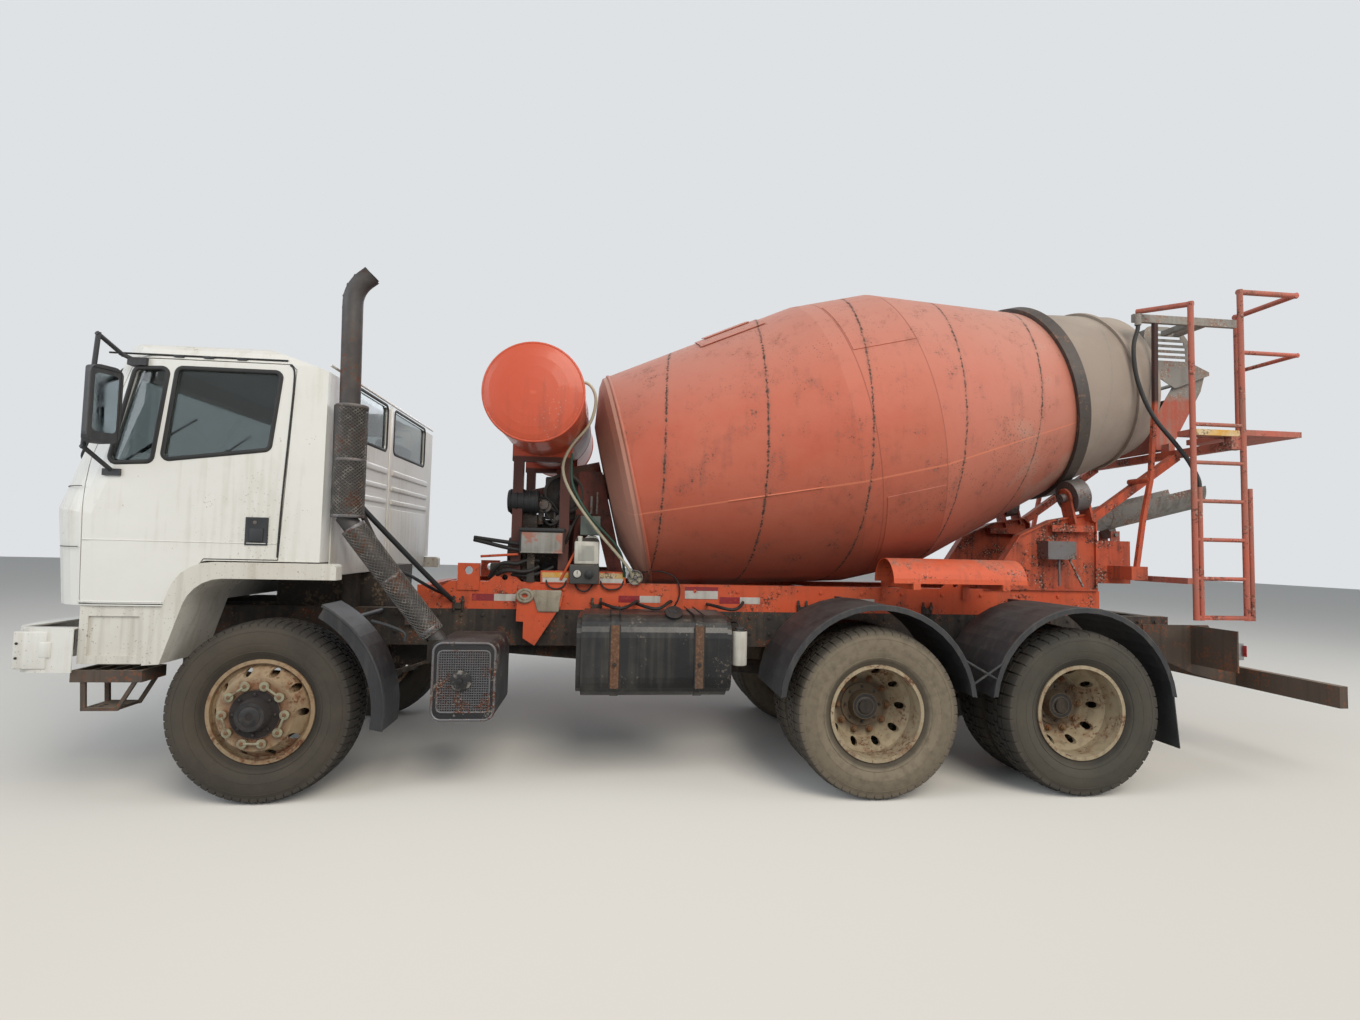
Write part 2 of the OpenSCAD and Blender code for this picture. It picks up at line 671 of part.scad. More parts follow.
module fuel_tank() color("#1f2022") at_axle() mirror([0, 1, 0]) {
  along_x(fuel_x + 30, fuel_x + fuel_l - 30) polygon(d_outline(fuel_y[0], fuel_y[1],
    fuel_z, fuel_top, 60, 130));
  along_x(fuel_x, fuel_x + fuel_l)
    polygon(d_outline(fuel_y[0] + 22, fuel_y[1] - 22, fuel_z + 22, fuel_top - 22, 50, 115));
  rod([fuel_x + 600, fuel_y[1] - 130, fuel_top - 30], [fuel_x + 600, fuel_y[1] - 90, fuel_top + 22], 110);
  for (x = fuel_strap_xs) {
    along_x(x - strap_w / 2, x + strap_w / 2) difference() {
      polygon(d_outline(fuel_y[0] - 30, fuel_y[1] + 5, fuel_z - 5, fuel_top + 5, 65, 135));
      polygon(d_outline(fuel_y[0] + 5, fuel_y[1] - 1, fuel_z + 1, fuel_top - 1, 60, 130));
    }
    block([x - strap_w / 2, x + strap_w / 2], [rail_y, fuel_y[0] - 20],
      [rail_bottom + 10, rail_bottom + 90]);
    block([x - strap_w / 2, x + strap_w / 2], [rail_y, rail_y + 30], [fuel_z + 40, rail_top - 20]);
    block([x - strap_w / 2, x + strap_w / 2], [rail_y, fuel_y[0]], [fuel_z + 40, fuel_z + 90]);
  }
  rod([fuel_x + fuel_l + 55, fuel_y[1] - 60, fuel_z + 200], [fuel_x + fuel_l + 55, fuel_y[1] - 60,
    fuel_z + 420], 92);
  block([fuel_x + fuel_l - 31, fuel_x + fuel_l + 60], [fuel_y[1] - 90, fuel_y[1] - 60],
    [fuel_z + 330, fuel_z + 400]);
}

silencer_y = [rail_y + 170, rail_y + 170 + silencer_w];
silencer_arms_x = [silencer_x + 60, silencer_x + silencer_l - 110];

module silencer() color("#26262a") at_axle() mirror([0, 1, 0]) {
  along_y(silencer_y[0], silencer_y[1]) polygon(outline([
    [silencer_x, silencer_z, 60], [silencer_x + silencer_l, silencer_z, 60],
    [silencer_x + silencer_l, silencer_z + silencer_h, 60],
    [silencer_x, silencer_z + silencer_h, 25]]));
  for (x = silencer_arms_x)
    block([x, x + 50], [rail_y, silencer_y[0] + 1], [rail_bottom + 20, rail_bottom + 80]);
}

exhaust_low = [exhaust_x, exhaust_y, 1640];
exhaust_entry = [971, exhaust_y - 110, silencer_z + silencer_h - 40];
exhaust_top = [exhaust_x - 26, exhaust_y, 2941];
exhaust_bend_r = 190;
exhaust_bend = 50;
exhaust_tail = 43;
pipe_shield_d = 134;
shield_z = [1655, 2312];

module exhaust_stack() color("#5a5a5c") at_axle() mirror([0, 1, 0]) {
  dir = unit(exhaust_entry - exhaust_low);
  over = dir * exhaust_d * 0.3;
  elbow = [for (i = [0:3]) let (a = exhaust_bend * i / 3)
    exhaust_top + exhaust_bend_r * [1 - cos(a), 0, sin(a)]];
  up = (exhaust_top - exhaust_low) / (exhaust_top.z - exhaust_low.z);
  tail = elbow[3] + exhaust_tail * [sin(exhaust_bend), 0, cos(exhaust_bend)];
  tube_path(concat([exhaust_low], elbow, [tail]), exhaust_d);
  rod(exhaust_low + up * (shield_z[0] - exhaust_low.z), exhaust_low + up * (shield_z[1] - exhaust_low.z),
    shield_d);
  difference() {
    rod(exhaust_low - over, exhaust_entry, exhaust_d);
    block([silencer_x - 60, silencer_x + silencer_l], [exhaust_y - 200, exhaust_y + 100],
      [silencer_z, silencer_z + silencer_h + seat_gap]);
  }
  rod(exhaust_low + dir * 57, exhaust_entry - dir * 93, pipe_shield_d);
  rod([640, rail_y + 20, rail_top - 60], [exhaust_x + 40, exhaust_y - 60, 1720], 34);
  block([600, 680], [rail_y, rail_y + 40], [rail_top - 110, rail_top - 20]);
}

saddle_y = 380;
saddle_w = 60;
saddle_span = 210;
saddle_post = 70;
drum_dir = [cos(drum_tilt), 0, sin(drum_tilt)];
drum_head = [drum_x, 0, drum_z];
function drum_at(s) = drum_head + drum_dir * s;

module water_tank() color("#d8491f") at_axle() {
  r = water_d / 2;
  dish = [for (a = [0:15:90]) [r * sin(a), water_l / 2 + water_bulge * cos(a)]];
  translate([water_x, 0, water_z]) rotate([90, 0, 0]) rotate_extrude($fn = 72)
    polygon(concat([for (i = [0:6]) [dish[i].x, -dish[i].y]], [for (i = [6:-1:0]) dish[i]]));
  both_sides() {
    difference() {
      block([water_x - saddle_span, water_x + saddle_span],
        [saddle_y - saddle_w / 2, saddle_y + saddle_w / 2],
        [water_z - r - 40, water_z - r * 0.74]);
      translate([water_x, 0, water_z]) rotate([-90, 0, 0]) cylinder(h = rail_y * 2,
        d = water_d - 2, $fn = 72);
    }
    for (x = [water_x - saddle_span + 10, water_x + saddle_span - 10 - saddle_post])
      block([x, x + saddle_post], [saddle_y - saddle_w / 2, saddle_y + saddle_w / 2],
        [sub_top, water_z - r - 39]);
  }
}

// The mixer's frame

sub_web = 8;
lug_t = 16;
lug_w = 230;
lug_h = 66;
tower_x = [930, 1080];
tower_h = 125;
sub_cross_xs = [660, 1640, 2600, 3500, 4400, 5200, 5620];

// The wheel chock in its holder on the near rail
chock_outline = [[1350, 1066], [1350, 990], [1399, 988], [1399, 876], [1478, 826], [1650, 1100],
  [1660, 1165], [1358, 1183]];

module lift_lug(x) difference() {
  along_y(rail_y - lug_t, rail_y) polygon(outline([[x - lug_w / 2, sub_top - 40, 0],
    [x + lug_w / 2, sub_top - 40, 0],
    [x + lug_w / 2, sub_top, 0], [x + 40, sub_top + lug_h, 36], [x - 40, sub_top + lug_h, 36],
      [x - lug_w / 2, sub_top, 0]]));
  translate([x, rail_y - lug_t - 1, sub_top + lug_h - 36]) rotate([-90, 0, 0])
    cylinder(h = lug_t + 2, r = lift_eye_r, $fn = 48);
}

module subframe() color("#d8491f") at_axle() {
  both_sides() {
    difference() {
      along_x(sub_front, sub_rear) polygon([
        [rail_y, rail_top], [rail_y, sub_top], [rail_y - rail_flange, sub_top],
        [rail_y - rail_flange, sub_top - sub_web], [rail_y - sub_web, sub_top - sub_web],
        [rail_y - sub_web, rail_top + sub_web], [rail_y - rail_flange, rail_top + sub_web],
        [rail_y - rail_flange, rail_top]]);
      along_y(rail_y - 100, rail_y + 10)
        polygon([[sub_front - 10, rail_top + 20], [sub_front + 260, sub_top + 1],
          [sub_front - 10, sub_top + 1]]);
    }
    lift_lug(lift_front_x);
    lift_lug(lift_rear_x);
    for (y = [rail_y - 14, rail_y])
      difference() {
        block(tower_x, [y, y + 12], [sub_top - 60, sub_top + tower_h]);
        translate([(tower_x[0] + tower_x[1]) / 2, y - 1, sub_top + tower_h - 50]) rotate([-90,
          0, 0])
          cylinder(h = 14, d = 56, $fn = 32);
      }
  }
  mirror([0, 1, 0]) {
    along_y(rail_y + seat_gap, rail_y + 110) polygon(chock_outline);
    block([1430, 1600], [rail_y - 2, rail_y + 50], [1075, 1150]);
  }
  for (x = sub_cross_xs)
    block([x, x + 80], [-rail_y + sub_web, rail_y - sub_web], [rail_top + 40, sub_top - 30]);
}

mix_engine_x = [1235, 1600];
mix_engine_y = 300;

module mixer_engine() color("#2f3133") at_axle() {
  x0 = mix_engine_x[0];
  block([x0 + 30, mix_engine_x[1]], [-210, 210], [1330, 1620]);
  block([x0 + 60, mix_engine_x[1] - 30], [-130, 130], [1240, 1331]);
  block([x0 + 50, mix_engine_x[1] - 20], [-180, 180], [1619, 1700]);
  rod([x0 + 31, 0, 1440], [x0 - 20, 0, 1440], 250);
  rod([x0 + 100, -340, 1800], [x0 + 100, -120, 1800], 200);
  rod([x0 + 100, -160, 1690], [x0 + 100, -160, 1790], 70);
  both_sides() {
    block([x0 + 140, x0 + 220], [200, 405], [sub_top, sub_top + 90]);
    block([x0 + 140, x0 + 220], [200, 260], [sub_top, 1400]);
  }
  mirror([0, 1, 0]) {
    block([1350, 1640], [rail_y - 10, rail_y + 60], [sub_top + 210, sub_top + 360]);
    block([1400, 1450], [rail_y - 10, rail_y + 12], [sub_top + seat_gap, sub_top + 211]);
    block([1700, 1900], [rail_y - 5 + seat_gap, rail_y + 60], [sub_top + seat_gap, 1382]);
    along_y(rail_y, rail_y + 50) polygon(outline([[1727, 1381, 0], [1900, 1381, 0], [1900, 1570, 30],
      [1727, 1570, 30]]));
  }
}

gearbox_s = [-480, -150];
gearbox_d = 400;
motor_d = 180;
motor_l = 230;
frame_apex_z = 2050;

module front_pedestal() color("#8c2d1e") at_axle() {
  both_sides() {
    difference() {
      along_y(rail_y - 100, rail_y - 85)
        polygon([[1690, sub_top], [2090, sub_top], [1905, frame_apex_z], [1740, frame_apex_z]]);
      along_y(rail_y - 101, rail_y - 84) polygon([[1775, sub_top + 90], [1960, sub_top + 90],
        [1860, 1720], [1800, 1720]]);
    }
    block([1690, 2090], [rail_y - 100, rail_y - 5], [sub_top, sub_top + 14]);
  }
  difference() {
    union() {
      block([1740, 1880], [-rail_y + 90, rail_y - 90], [1780, 1960]);
      rod(drum_at(gearbox_s[0]), drum_at(gearbox_s[1]), gearbox_d);
      rod(drum_at(gearbox_s[0] - motor_l), drum_at(gearbox_s[0] + 5), motor_d);
    }
    on_drum(gearbox_s[1] - 120) cylinder(h = 130, d = drive_d + 2 * running_fit, $fn = 64);
  }
}

drive_d = 200;
ring_axis_z = (ring_d + roller_d) / 2 + roller_gap;

// Places its children on the drum's axis, with +Z along it to the rear
module on_drum(s = 0) translate(drum_at(s)) rotate([0, 90 - drum_tilt, 0]) children();

// Places its children at the right or left roller, with +Z along its shaft
module at_roller(side) on_drum(ring_s)
  translate([ring_axis_z * cos(roller_angle), side * ring_axis_z * sin(roller_angle), 0]) children();

cheek_w = 18;
roller_space = 6;
roller_base_z = 1760;

module roller_cheek(side) {
  for (end = [-1, 1])
    at_roller(side) translate([0, 0, end * (roller_w / 2 + roller_space + cheek_w / 2)]) {
      translate([0, 0, -cheek_w / 2]) cylinder(h = cheek_w, d = roller_shaft_d + 70, $fn = 48);
      translate([0, -62, -cheek_w / 2]) cube([210, 124, cheek_w]);
    }
}

module roller_bore(side) at_roller(side) translate([0, 0, -200])
  cylinder(h = 400, d = roller_shaft_d + 2 * running_fit, $fn = 48);

ped_outline = [[4782, sub_top], [5695, sub_top], [5695, 1800], [5640, 1850], [5330, 1790], [5063, 1668]];
ped_flange_y = [rail_y - 60, rail_y + 20];
ped_t = 12;
arm_y = rail_y + 10;
arm_foot = [5640, 1800];
arm_head = [6370, 2310];
tie_x = [5850, 6700];
tie_y = 660;
tie_z = [3290, 3350];
post_w = 30;
post_line = [[5840, 1370], [5909, 1797], [5975, 2098], [6022, 2683], [6030, tie_z[0] - 1]];
rear_beam_x = [6340, 6400];
rear_beam_z = [2300, 2360];
slew_sleeve_z = [1335, 1500];

// A flat bar between two points of a drawing, of the width given
module strut(a, b, w) {
  side = (b - a) / norm(b - a) * w / 2;
  turned = [-side[1], side[0]];
  polygon([a + turned, a - turned, b - turned, b + turned]);
}

module rear_pedestal() color("#d8491f") at_axle() {
  both_sides() {
    along_y(rail_y - ped_t, rail_y) polygon(ped_outline);
    along_y(ped_flange_y[0], ped_flange_y[1]) difference() {
      polygon(ped_outline);
      polygon(inset(ped_outline, ped_t));
    }
    difference() {
      roller_cheek(1);
      roller_bore(1);
      block([4000, 6500], [-100, 1000], [1000, roller_base_z - 60]);
    }
    block([5300, 5640], [rail_y - 90, rail_y + 60], [roller_base_z - 60, roller_base_z - 10]);
    block([5694, 5990], [rail_y - 30, rail_y - 10], [sub_top + 60, 1640]);
    along_y(arm_y - 30, arm_y + 30) strut(arm_foot, arm_head, 60);
    along_y(tie_y - post_w, tie_y)
      for (i = [0:3]) strut(post_line[i], post_line[i + 1], post_w);
    rod([post_line[2].x, arm_y, post_line[2][1]], [post_line[2].x, tie_y - post_w / 2, post_line[2][1]], 44);
    block([post_line[0].x - 40, 5930], [rail_y - 40, tie_y], [1350, 1450]);
  }
  block([5560, 5694], [-rail_y + ped_t, rail_y - ped_t], [1560, 1700]);
  block([5900, 5990], [-rail_y + 10, rail_y - 10], [1330, 1450]);
  block(rear_beam_x, [-arm_y - 40, arm_y + 40], rear_beam_z);
  difference() {
    union() {
      block([5989, chute_x], [-42, 42], slew_sleeve_z);
      translate([chute_x, 0, slew_sleeve_z[0]])
        cylinder(h = slew_sleeve_z[1] - slew_sleeve_z[0], d = slew_d + 50, $fn = 48);
    }
    translate([chute_x, 0, slew_sleeve_z[0] - 1])
      cylinder(h = slew_sleeve_z[1] - slew_sleeve_z[0] + 2, d = slew_d + 2 * running_fit, $fn = 48);
  }
}

hopper_t = 6;
hopper_y = 360;
hood_y = 330;
top_z = 3373;
hopper_round = 200;
hopper_rear = 6590;
floor_line = [[6452, 2898], [6738, 3008]];
hopper_outline = outline([[6250, 2990, 0], [6440, 2880, 0], [6470, 2885, 0], [6750, 2994, 0], [6750, 3022, 0],
  [hopper_rear, 3090, 40], [hopper_rear, top_z, hopper_round], [6200, top_z, 60], [6180, 3290, 0]], 8);

module hopper() color("#a7a398") at_axle() {
  both_sides() {
    difference() {
      along_y(hopper_y, hopper_y + hopper_t) polygon(hopper_outline);
      for (i = [0:5])
        let (z = 3098 + i * 44, rise = max(0, z + 22 - top_z + hopper_round))
          block([6245, hopper_rear - hopper_round - 35 + sqrt(pow(hopper_round - 10, 2) - pow(rise, 2))],
            [hopper_y - 1, hopper_y + hopper_t + 1], [z, z + 22]);
    }
    along_y(hood_y, hood_y + hopper_t) polygon([[6300, 2380], [6421, 2380], [6700, 2870],
      floor_line[1], floor_line[0], [6300, 2650]]);
    block([rear_beam_x[0] + 5, rear_beam_x[1] - 5], [hood_y, hood_y + 80],
      [rear_beam_z[1] + seat_gap, 2420]);
    block(tie_x, [tie_y - post_w, tie_y], tie_z);
    for (x = [6330, 6440])
      block([x, x + 40], [hopper_y + hopper_t - 1, tie_y - post_w + 1], [tie_z[0] + 5, tie_z[1] - 15]);
  }
  along_y(-hopper_y - 1, hopper_y + 1) strut(floor_line[0], floor_line[1], hopper_t + 2);
  along_y(-hood_y - 1, hood_y + 1) strut([6422, 2383], [6701, 2873], hopper_t + 2);
  block([6260, 6300], [-hopper_y - 1, hopper_y + 1], [top_z - 50, top_z]);
  rod([hose_top.x, -tie_y - 18, hose_top.z], [hose_top.x, -tie_y - 18, tie_z[1] - 10], 44);
}

module ladder() color("#c04a32") at_axle() mirror([0, 1, 0]) {
  front = ladder_x;
  rear = ladder_x + ladder_w;
  top = platform_z + handrail_h;
  y = ladder_y;
  end_x = rear + platform_l;
  in_y = y - platform_w;
  tube_path([[front, y, ladder_z], [front, y, top - 110],
    [tie_x[0] + 35, tie_y - 18, tie_z[1] + ladder_d / 2 + 2.6]], ladder_d);
  tube_path([[rear, y, ladder_z], [rear, y, top], [end_x, y, top], [end_x, in_y, top],
    [end_x, in_y, platform_z]], ladder_d);
  tube_path([[rear, y, platform_z + handrail_h * 0.56], [end_x, y, platform_z + handrail_h * 0.56],
    [end_x, in_y, platform_z + handrail_h * 0.56]], ladder_d - 8);
  for (i = [0:5])
    rod([front, y, ladder_z + 18 + i * rung_pitch], [rear, y, ladder_z + 18 + i * rung_pitch],
      ladder_d - 10);
  for (x = [front + 42, rear + 42])
    rod([x, y, ladder_z], [x, y, ladder_z + 930], ladder_d - 4);
  block([front, rear + 42], [y - 12, y + 12], [ladder_z + 4, ladder_z + 34]);
  block([rear, end_x + 12], [in_y - 12, y + 12], [platform_z - 40, platform_z]);
  block([front - 20, rear + 1], [y - 110, y - 12], [platform_z - 50, platform_z - 10]);
  block([rear - 90, rear - 30], [arm_y + 40.3, y], [rear_beam_z[0], rear_beam_z[1]]);
  block([rear - 90, rear + 1], [y - 60, y], [rear_beam_z[0], platform_z - 20]);
  block([front - 60, front + 30], [arm_y + 30.3, y], [1340, 1380]);
}

spare_l = 940;
spare_r = 165;
spare_x = 3850;
spare_y = 790;
spare_z = 1312;

module spare_chute() color("#cf4a28") at_axle() mirror([0, 1, 0]) {
  translate([0, spare_y, spare_z]) along_x(spare_x, spare_x + spare_l)
    polygon(ring_sector(spare_r - chute_t, spare_r, 0, 180, 16));
  for (x = [spare_x + 130, spare_x + spare_l - 180])
    block([x, x + 50], [rail_y, spare_y + spare_r + 10], [spare_z - 40, spare_z]);
  for (x = [spare_x + 130, spare_x + spare_l - 180])
    block([x, x + 50], [rail_y, rail_y + 12], [sub_top - 80, spare_z]);
}

underrun_t = 60;
underrun_h = 145;
underrun_z = 540;
underrun_half = 1190;
lamp_plate_x = [rail_end + 180, rail_end + 192];
lamp_plate_y = 830;
lamp_plate_z = [705, rail_top - 60];

module underrun_bar() color("#4b4640") at_axle() {
  block([rear_reach - underrun_t, rear_reach], [-underrun_half, underrun_half],
    [underrun_z, underrun_z + underrun_h]);
  both_sides() along_y(rail_y, rail_y + 12) polygon([[rail_end - 220, rail_bottom - 10],
    [rail_end - 220, rail_top - 60],
    [rail_end + 330, rail_top - 60], [rear_reach - underrun_t + 1, underrun_z + underrun_h],
    [rear_reach - underrun_t + 1, underrun_z], [rail_end + 200, underrun_z + 90]]);
  both_sides() block(lamp_plate_x, [rail_y + 11, lamp_plate_y], lamp_plate_z);
}

// The hose, the camera's side being -Y
hose_d = 30;
hose_top = [5865, -tie_y - 18, tie_z[0] - 35];
hose_low = [ladder_x + 42, -ladder_y, ladder_z + 930];
hose_route = [hose_top, hose_top - [0, 0, 30], [5845, -680, 3180], [5825, -682, 3120], [5820, -684, 3040],
  [5825, -686, 2955], [5835, -688, 2870], [5855, -692, 2795], [5880, -698, 2710], [5910, -710, 2625],
  [5940, -725, 2555], [5970, -745, 2490], [6005, -765, 2430], [6035, -790, 2370], [6060, -815, 2310],
  [6080, -845, 2250], [6092, -875, 2190], [6094, -905, 2130], [6090, -932, 2085],
  hose_low + [0, 0, 35], hose_low];
function hose_ring(i) = let (n = len(hose_route) - 1,
  way = hose_route[min(i + 1, n)] - hose_route[max(i - 1, 0)],
  u = unit(cross(way, [0, 1, 0])), w = unit(cross(u, way)))
  [for (k = [9:-1:0]) hose_route[i] + hose_d / 2 * (u * cos(36 * k) + w * sin(36 * k))];

module rear_hose() color("#1d1d1f") at_axle() polyhedron(
  points = [for (i = [0:len(hose_route) - 1], p = hose_ring(i)) p],
  faces = concat([[for (k = [0:9]) k]], [[for (k = [9:-1:0]) (len(hose_route) - 1) * 10 + k]],
    [for (i = [0:len(hose_route) - 2], k = [0:9]) let (m = (k + 1) % 10)
      [10 * i + k, 10 * i + 10 + k, 10 * i + 10 + m, 10 * i + m]]));

module chute_valve() color("#8a8178") at_axle() mirror([0, 1, 0]) {
  block([5215, 5440], [rail_y, rail_y + 130], [1490, 1625]);
  rod([5330, rail_y + 90, 1500], [5330, rail_y + 90, 1290], 16);
  rod([5400, rail_y + 100, 1500], [5460, rail_y + 170, 1290], 16);
}

// The cab

// Side outline of the cab, [back of the front axle, height], anticlockwise from the foot of the front
nose_belly_z = 1680;
cab_front_x = -1270;
nose_foot_x = -1183;
cab_side = outline([
  [nose_foot_x, cab_floor, 0], [-490, cab_floor, 0], [-330, cab_arch_floor, 60],
    [cab_rear, cab_arch_floor, 0],
  [cab_rear, roof_seam - 10, 60], [cab_rear - 80, roof_seam + roof_rise, 60],
    [-820, roof_seam + roof_rise - 18, 90],
  [-955, roof_seam - 8, 60], [-1166, 1946, 0], [-1255, 1790, 0],
    [cab_front_x, nose_belly_z, 0], [-1250, 1450, 0]], 4);
screen_slope = atan2(1166 - 955, roof_seam - 8 - 1946);
chin_slope = atan2(nose_foot_x - cab_front_x, nose_belly_z - cab_floor) - 4;
cab_top = roof_seam + roof_rise;
roof_edge_r = 110;

// Plan of the cab with bowed front and rounded corners, from its front to x = 700, inset by t
module cab_plan(t) polygon(inset(outline([
  [700, -cab_y, 0], [700, cab_y, 0], [cab_front_x + front_bow - 4, cab_y, corner_r],
  [cab_front_x, cab_y * 0.36, 0], [cab_front_x, -cab_y * 0.36, 0],
  [cab_front_x + front_bow - 4, -cab_y, corner_r]], 7), t));

// The cab's volume, shrunk by t all round
module cab_volume(t) intersection() {
  along_y(-cab_y - 1, cab_y + 1) polygon(inset(cab_side, t));
  along_x(cab_front_x - 10, cab_rear + 10) polygon(inset(outline([
    [-cab_y, 900, 0], [cab_y, 900, 0], [cab_y, cab_top, roof_edge_r],
      [-cab_y, cab_top, roof_edge_r]]), t));
  translate([cab_front_x, 0, nose_belly_z]) rotate([0, -chin_slope, 0])
    translate([-cab_front_x, 0, -900]) linear_extrude(2200) cab_plan(t);
  translate([cab_front_x, 0, nose_belly_z]) rotate([0, screen_slope, 0])
    translate([-cab_front_x, 0, -900]) linear_extrude(2200) cab_plan(t);
}

// The cab's wall from depth t0 to depth t1 under its outer face
module cab_skin(t0, t1) difference() {
  cab_volume(t0);
  cab_volume(t1);
}

door_outline = [[-951, cab_floor + 12], [-500, cab_floor + 12], [-318, cab_arch_floor + 12],
  [79, cab_arch_floor + 12],
  [128, 2500], [100, 2528], [-728, 2528], [-775, 2500], [-958, 1946], [-969, 1800]];
quarter_window = outline([[-850, 1925, 30], [-622, 1938, 30], [-560, 2478, 30], [-738, 2470, 30]], 3);
main_window = outline([[-570, 1950, 30], [5, 2028, 30], [52, 2482, 30], [-515, 2482, 30]], 3);
screen = outline([[-1000, 1990, 60], [1000, 1990, 60], [965, 2488, 60], [-965, 2488, 60]], 3);
screen_x = [cab_front_x - 20, -880];
rear_windows = [[-920, -95], [60, 915]];
rear_window_z = [2180, 2515];
glass_depth = 14;
front_panel_y = 900;
front_panel_z = [cab_floor + 80, 1925];
grille_y = 640;
grille_z = [1240, 1500];
grille_bars = 5;
seam = 4;

// The space of the doors on both sides: over the floors only as deep as the wall
module door_space(grow) intersection() {
  along_y(-cab_y - 50, cab_y + 50) polygon(inset(door_outline, -grow));
  both_sides() {
    block([-1100, 300], [cab_y - cab_wall, cab_y + 50], [1000, 2700]);
    block([-1100, 300], [cab_y - 120, cab_y], [cab_arch_floor + cab_wall, 2700]);
  }
}

module rear_window(y, grow) along_x(cab_rear - 150, cab_rear + 50) polygon(inset(outline([
  [y[0], rear_window_z[0], 40], [y[1], rear_window_z[0], 40],
  [y[1], rear_window_z[1], 40], [y[0], rear_window_z[1], 40]], 3), -grow));
module screen_hole(grow) along_x(screen_x[0], screen_x[1]) polygon(inset(screen, -grow));
module front_panel_zone(grow) block([cab_front_x - 20, cab_front_x + 230],
  [-front_panel_y - grow, front_panel_y + grow],
  [front_panel_z[0] - 20, front_panel_z[1] + grow]);

module hinge_ears() both_sides() difference() {
  union() {
    translate([-tilt_x, ear_y, tilt_z]) rotate([-90, 0, 0]) cylinder(h = ear_w, r = 35, $fn = 48);
    block([-tilt_x, nose_foot_x + 60], [ear_y, ear_y + ear_w], [tilt_z - 10, cab_floor + 5]);
  }
  translate([-tilt_x, ear_y - 1, tilt_z]) rotate([-90, 0, 0])
    cylinder(h = ear_w + 2, d = tilt_pin_d + 2 * running_fit, $fn = 48);
}

module cab_shell() color("#e9e8e4") at_axle() {
  difference() {
    cab_skin(0, cab_wall);
    block([cab_front_x - 50, cab_rear + 50], [-cab_y - 50, cab_y + 50], [roof_seam, cab_top + 50]);
    door_space(door_gap);
    screen_hole(0);
    front_panel_zone(0);
    for (y = rear_windows)
      rear_window(y, 0);
  }
  hinge_ears();
}

module cab_roof() color("#e6e5e0") at_axle() intersection() {
  cab_skin(0, cab_wall);
  block([cab_front_x - 50, cab_rear + 50], [-cab_y - 50, cab_y + 50], [roof_seam, cab_top + 50]);
}

module cab_front() color("#e3e2de") at_axle() {
  difference() {
    intersection() {
      cab_skin(0, cab_wall);
      front_panel_zone(-seam);
    }
    block([cab_front_x - 50, cab_front_x + 100], [-grille_y, grille_y], grille_z);
  }
  pitch = (grille_z[1] - grille_z[0]) / grille_bars;
  for (i = [0:grille_bars - 1])
    along_y(-grille_y - 1, grille_y + 1) polygon([
      [cab_front_x + 12, grille_z[0] + i * pitch + 12], [cab_front_x + 36,
        grille_z[0] + i * pitch + 30],
      [cab_front_x + 36, grille_z[0] + i * pitch + 40], [cab_front_x + 12,
        grille_z[0] + i * pitch + 22]]);
}

module cab_glass() color("#5f7377") at_axle() {
  intersection() {
    cab_skin(glass_depth, glass_depth + glass_t);
    screen_hole(-glass_gap);
  }
  for (y = rear_windows)
    intersection() {
      cab_skin(glass_depth, glass_depth + glass_t);
      rear_window(y, -glass_gap);
    }
}

arch_y = [cab_y - 60, cab_y + arch_proud];
wheelhouse_y = 740;

arch_seam_z = cab_arch_floor - 7;
arch_outer = outline([[-590, 800, 0], [-500, 806, 0], [-352, arch_seam_z - arch_lip, 210],
  [415, arch_seam_z - arch_lip, 0], [415, arch_seam_z, 20], [-432, arch_seam_z, 230]]);
arch_inner = outline([[-506, 806, 0], [-500, 806, 0], [-352, arch_seam_z - arch_lip, 210],
  [230, arch_seam_z - arch_lip, 0], [230, arch_seam_z - arch_lip + arch_t, 0],
  [-356, arch_seam_z - arch_lip + arch_t, 214]]);

module cab_arches() color("#e9e8e4") at_axle() both_sides() difference() {
  union() {
    along_y(arch_y[0], arch_y[1]) polygon(arch_outer);
    along_y(wheelhouse_y, arch_y[0] + 1) polygon(arch_inner);
    block([-100, -40], [wheelhouse_y, arch_y[0] + 1], [arch_seam_z - arch_lip + 1,
      cab_arch_floor - seat_gap]);
    block([-950, -520], [cab_y - 60, cab_y - 15], [800, cab_floor - seat_gap]);
  }
  block([-905, -640], [cab_y - 27, cab_y], [845, cab_floor - 60]);
  cab_volume(-seat_gap);
}

module seat(y) {
  block([-300, -20], [y - 190, y + 190], [seat_floor, seat_floor + 150]);
  along_y(y - 240, y + 240) polygon(outline([[-400, seat_floor + 149, 30], [60, seat_floor + 149, 30],
    [60, seat_floor + 260, 30], [-400, seat_floor + 290, 40]]));
  along_y(y - 235, y + 235) polygon(outline([[-30, seat_floor + 255, 0], [70, seat_floor + 255, 0],
    [190, seat_floor + 880, 40], [100, seat_floor + 880, 40]]));
}

seat_floor = cab_arch_floor + cab_wall + 0.3;
seat_y = 600;
wheel_at = [-700, -seat_y, 1908];

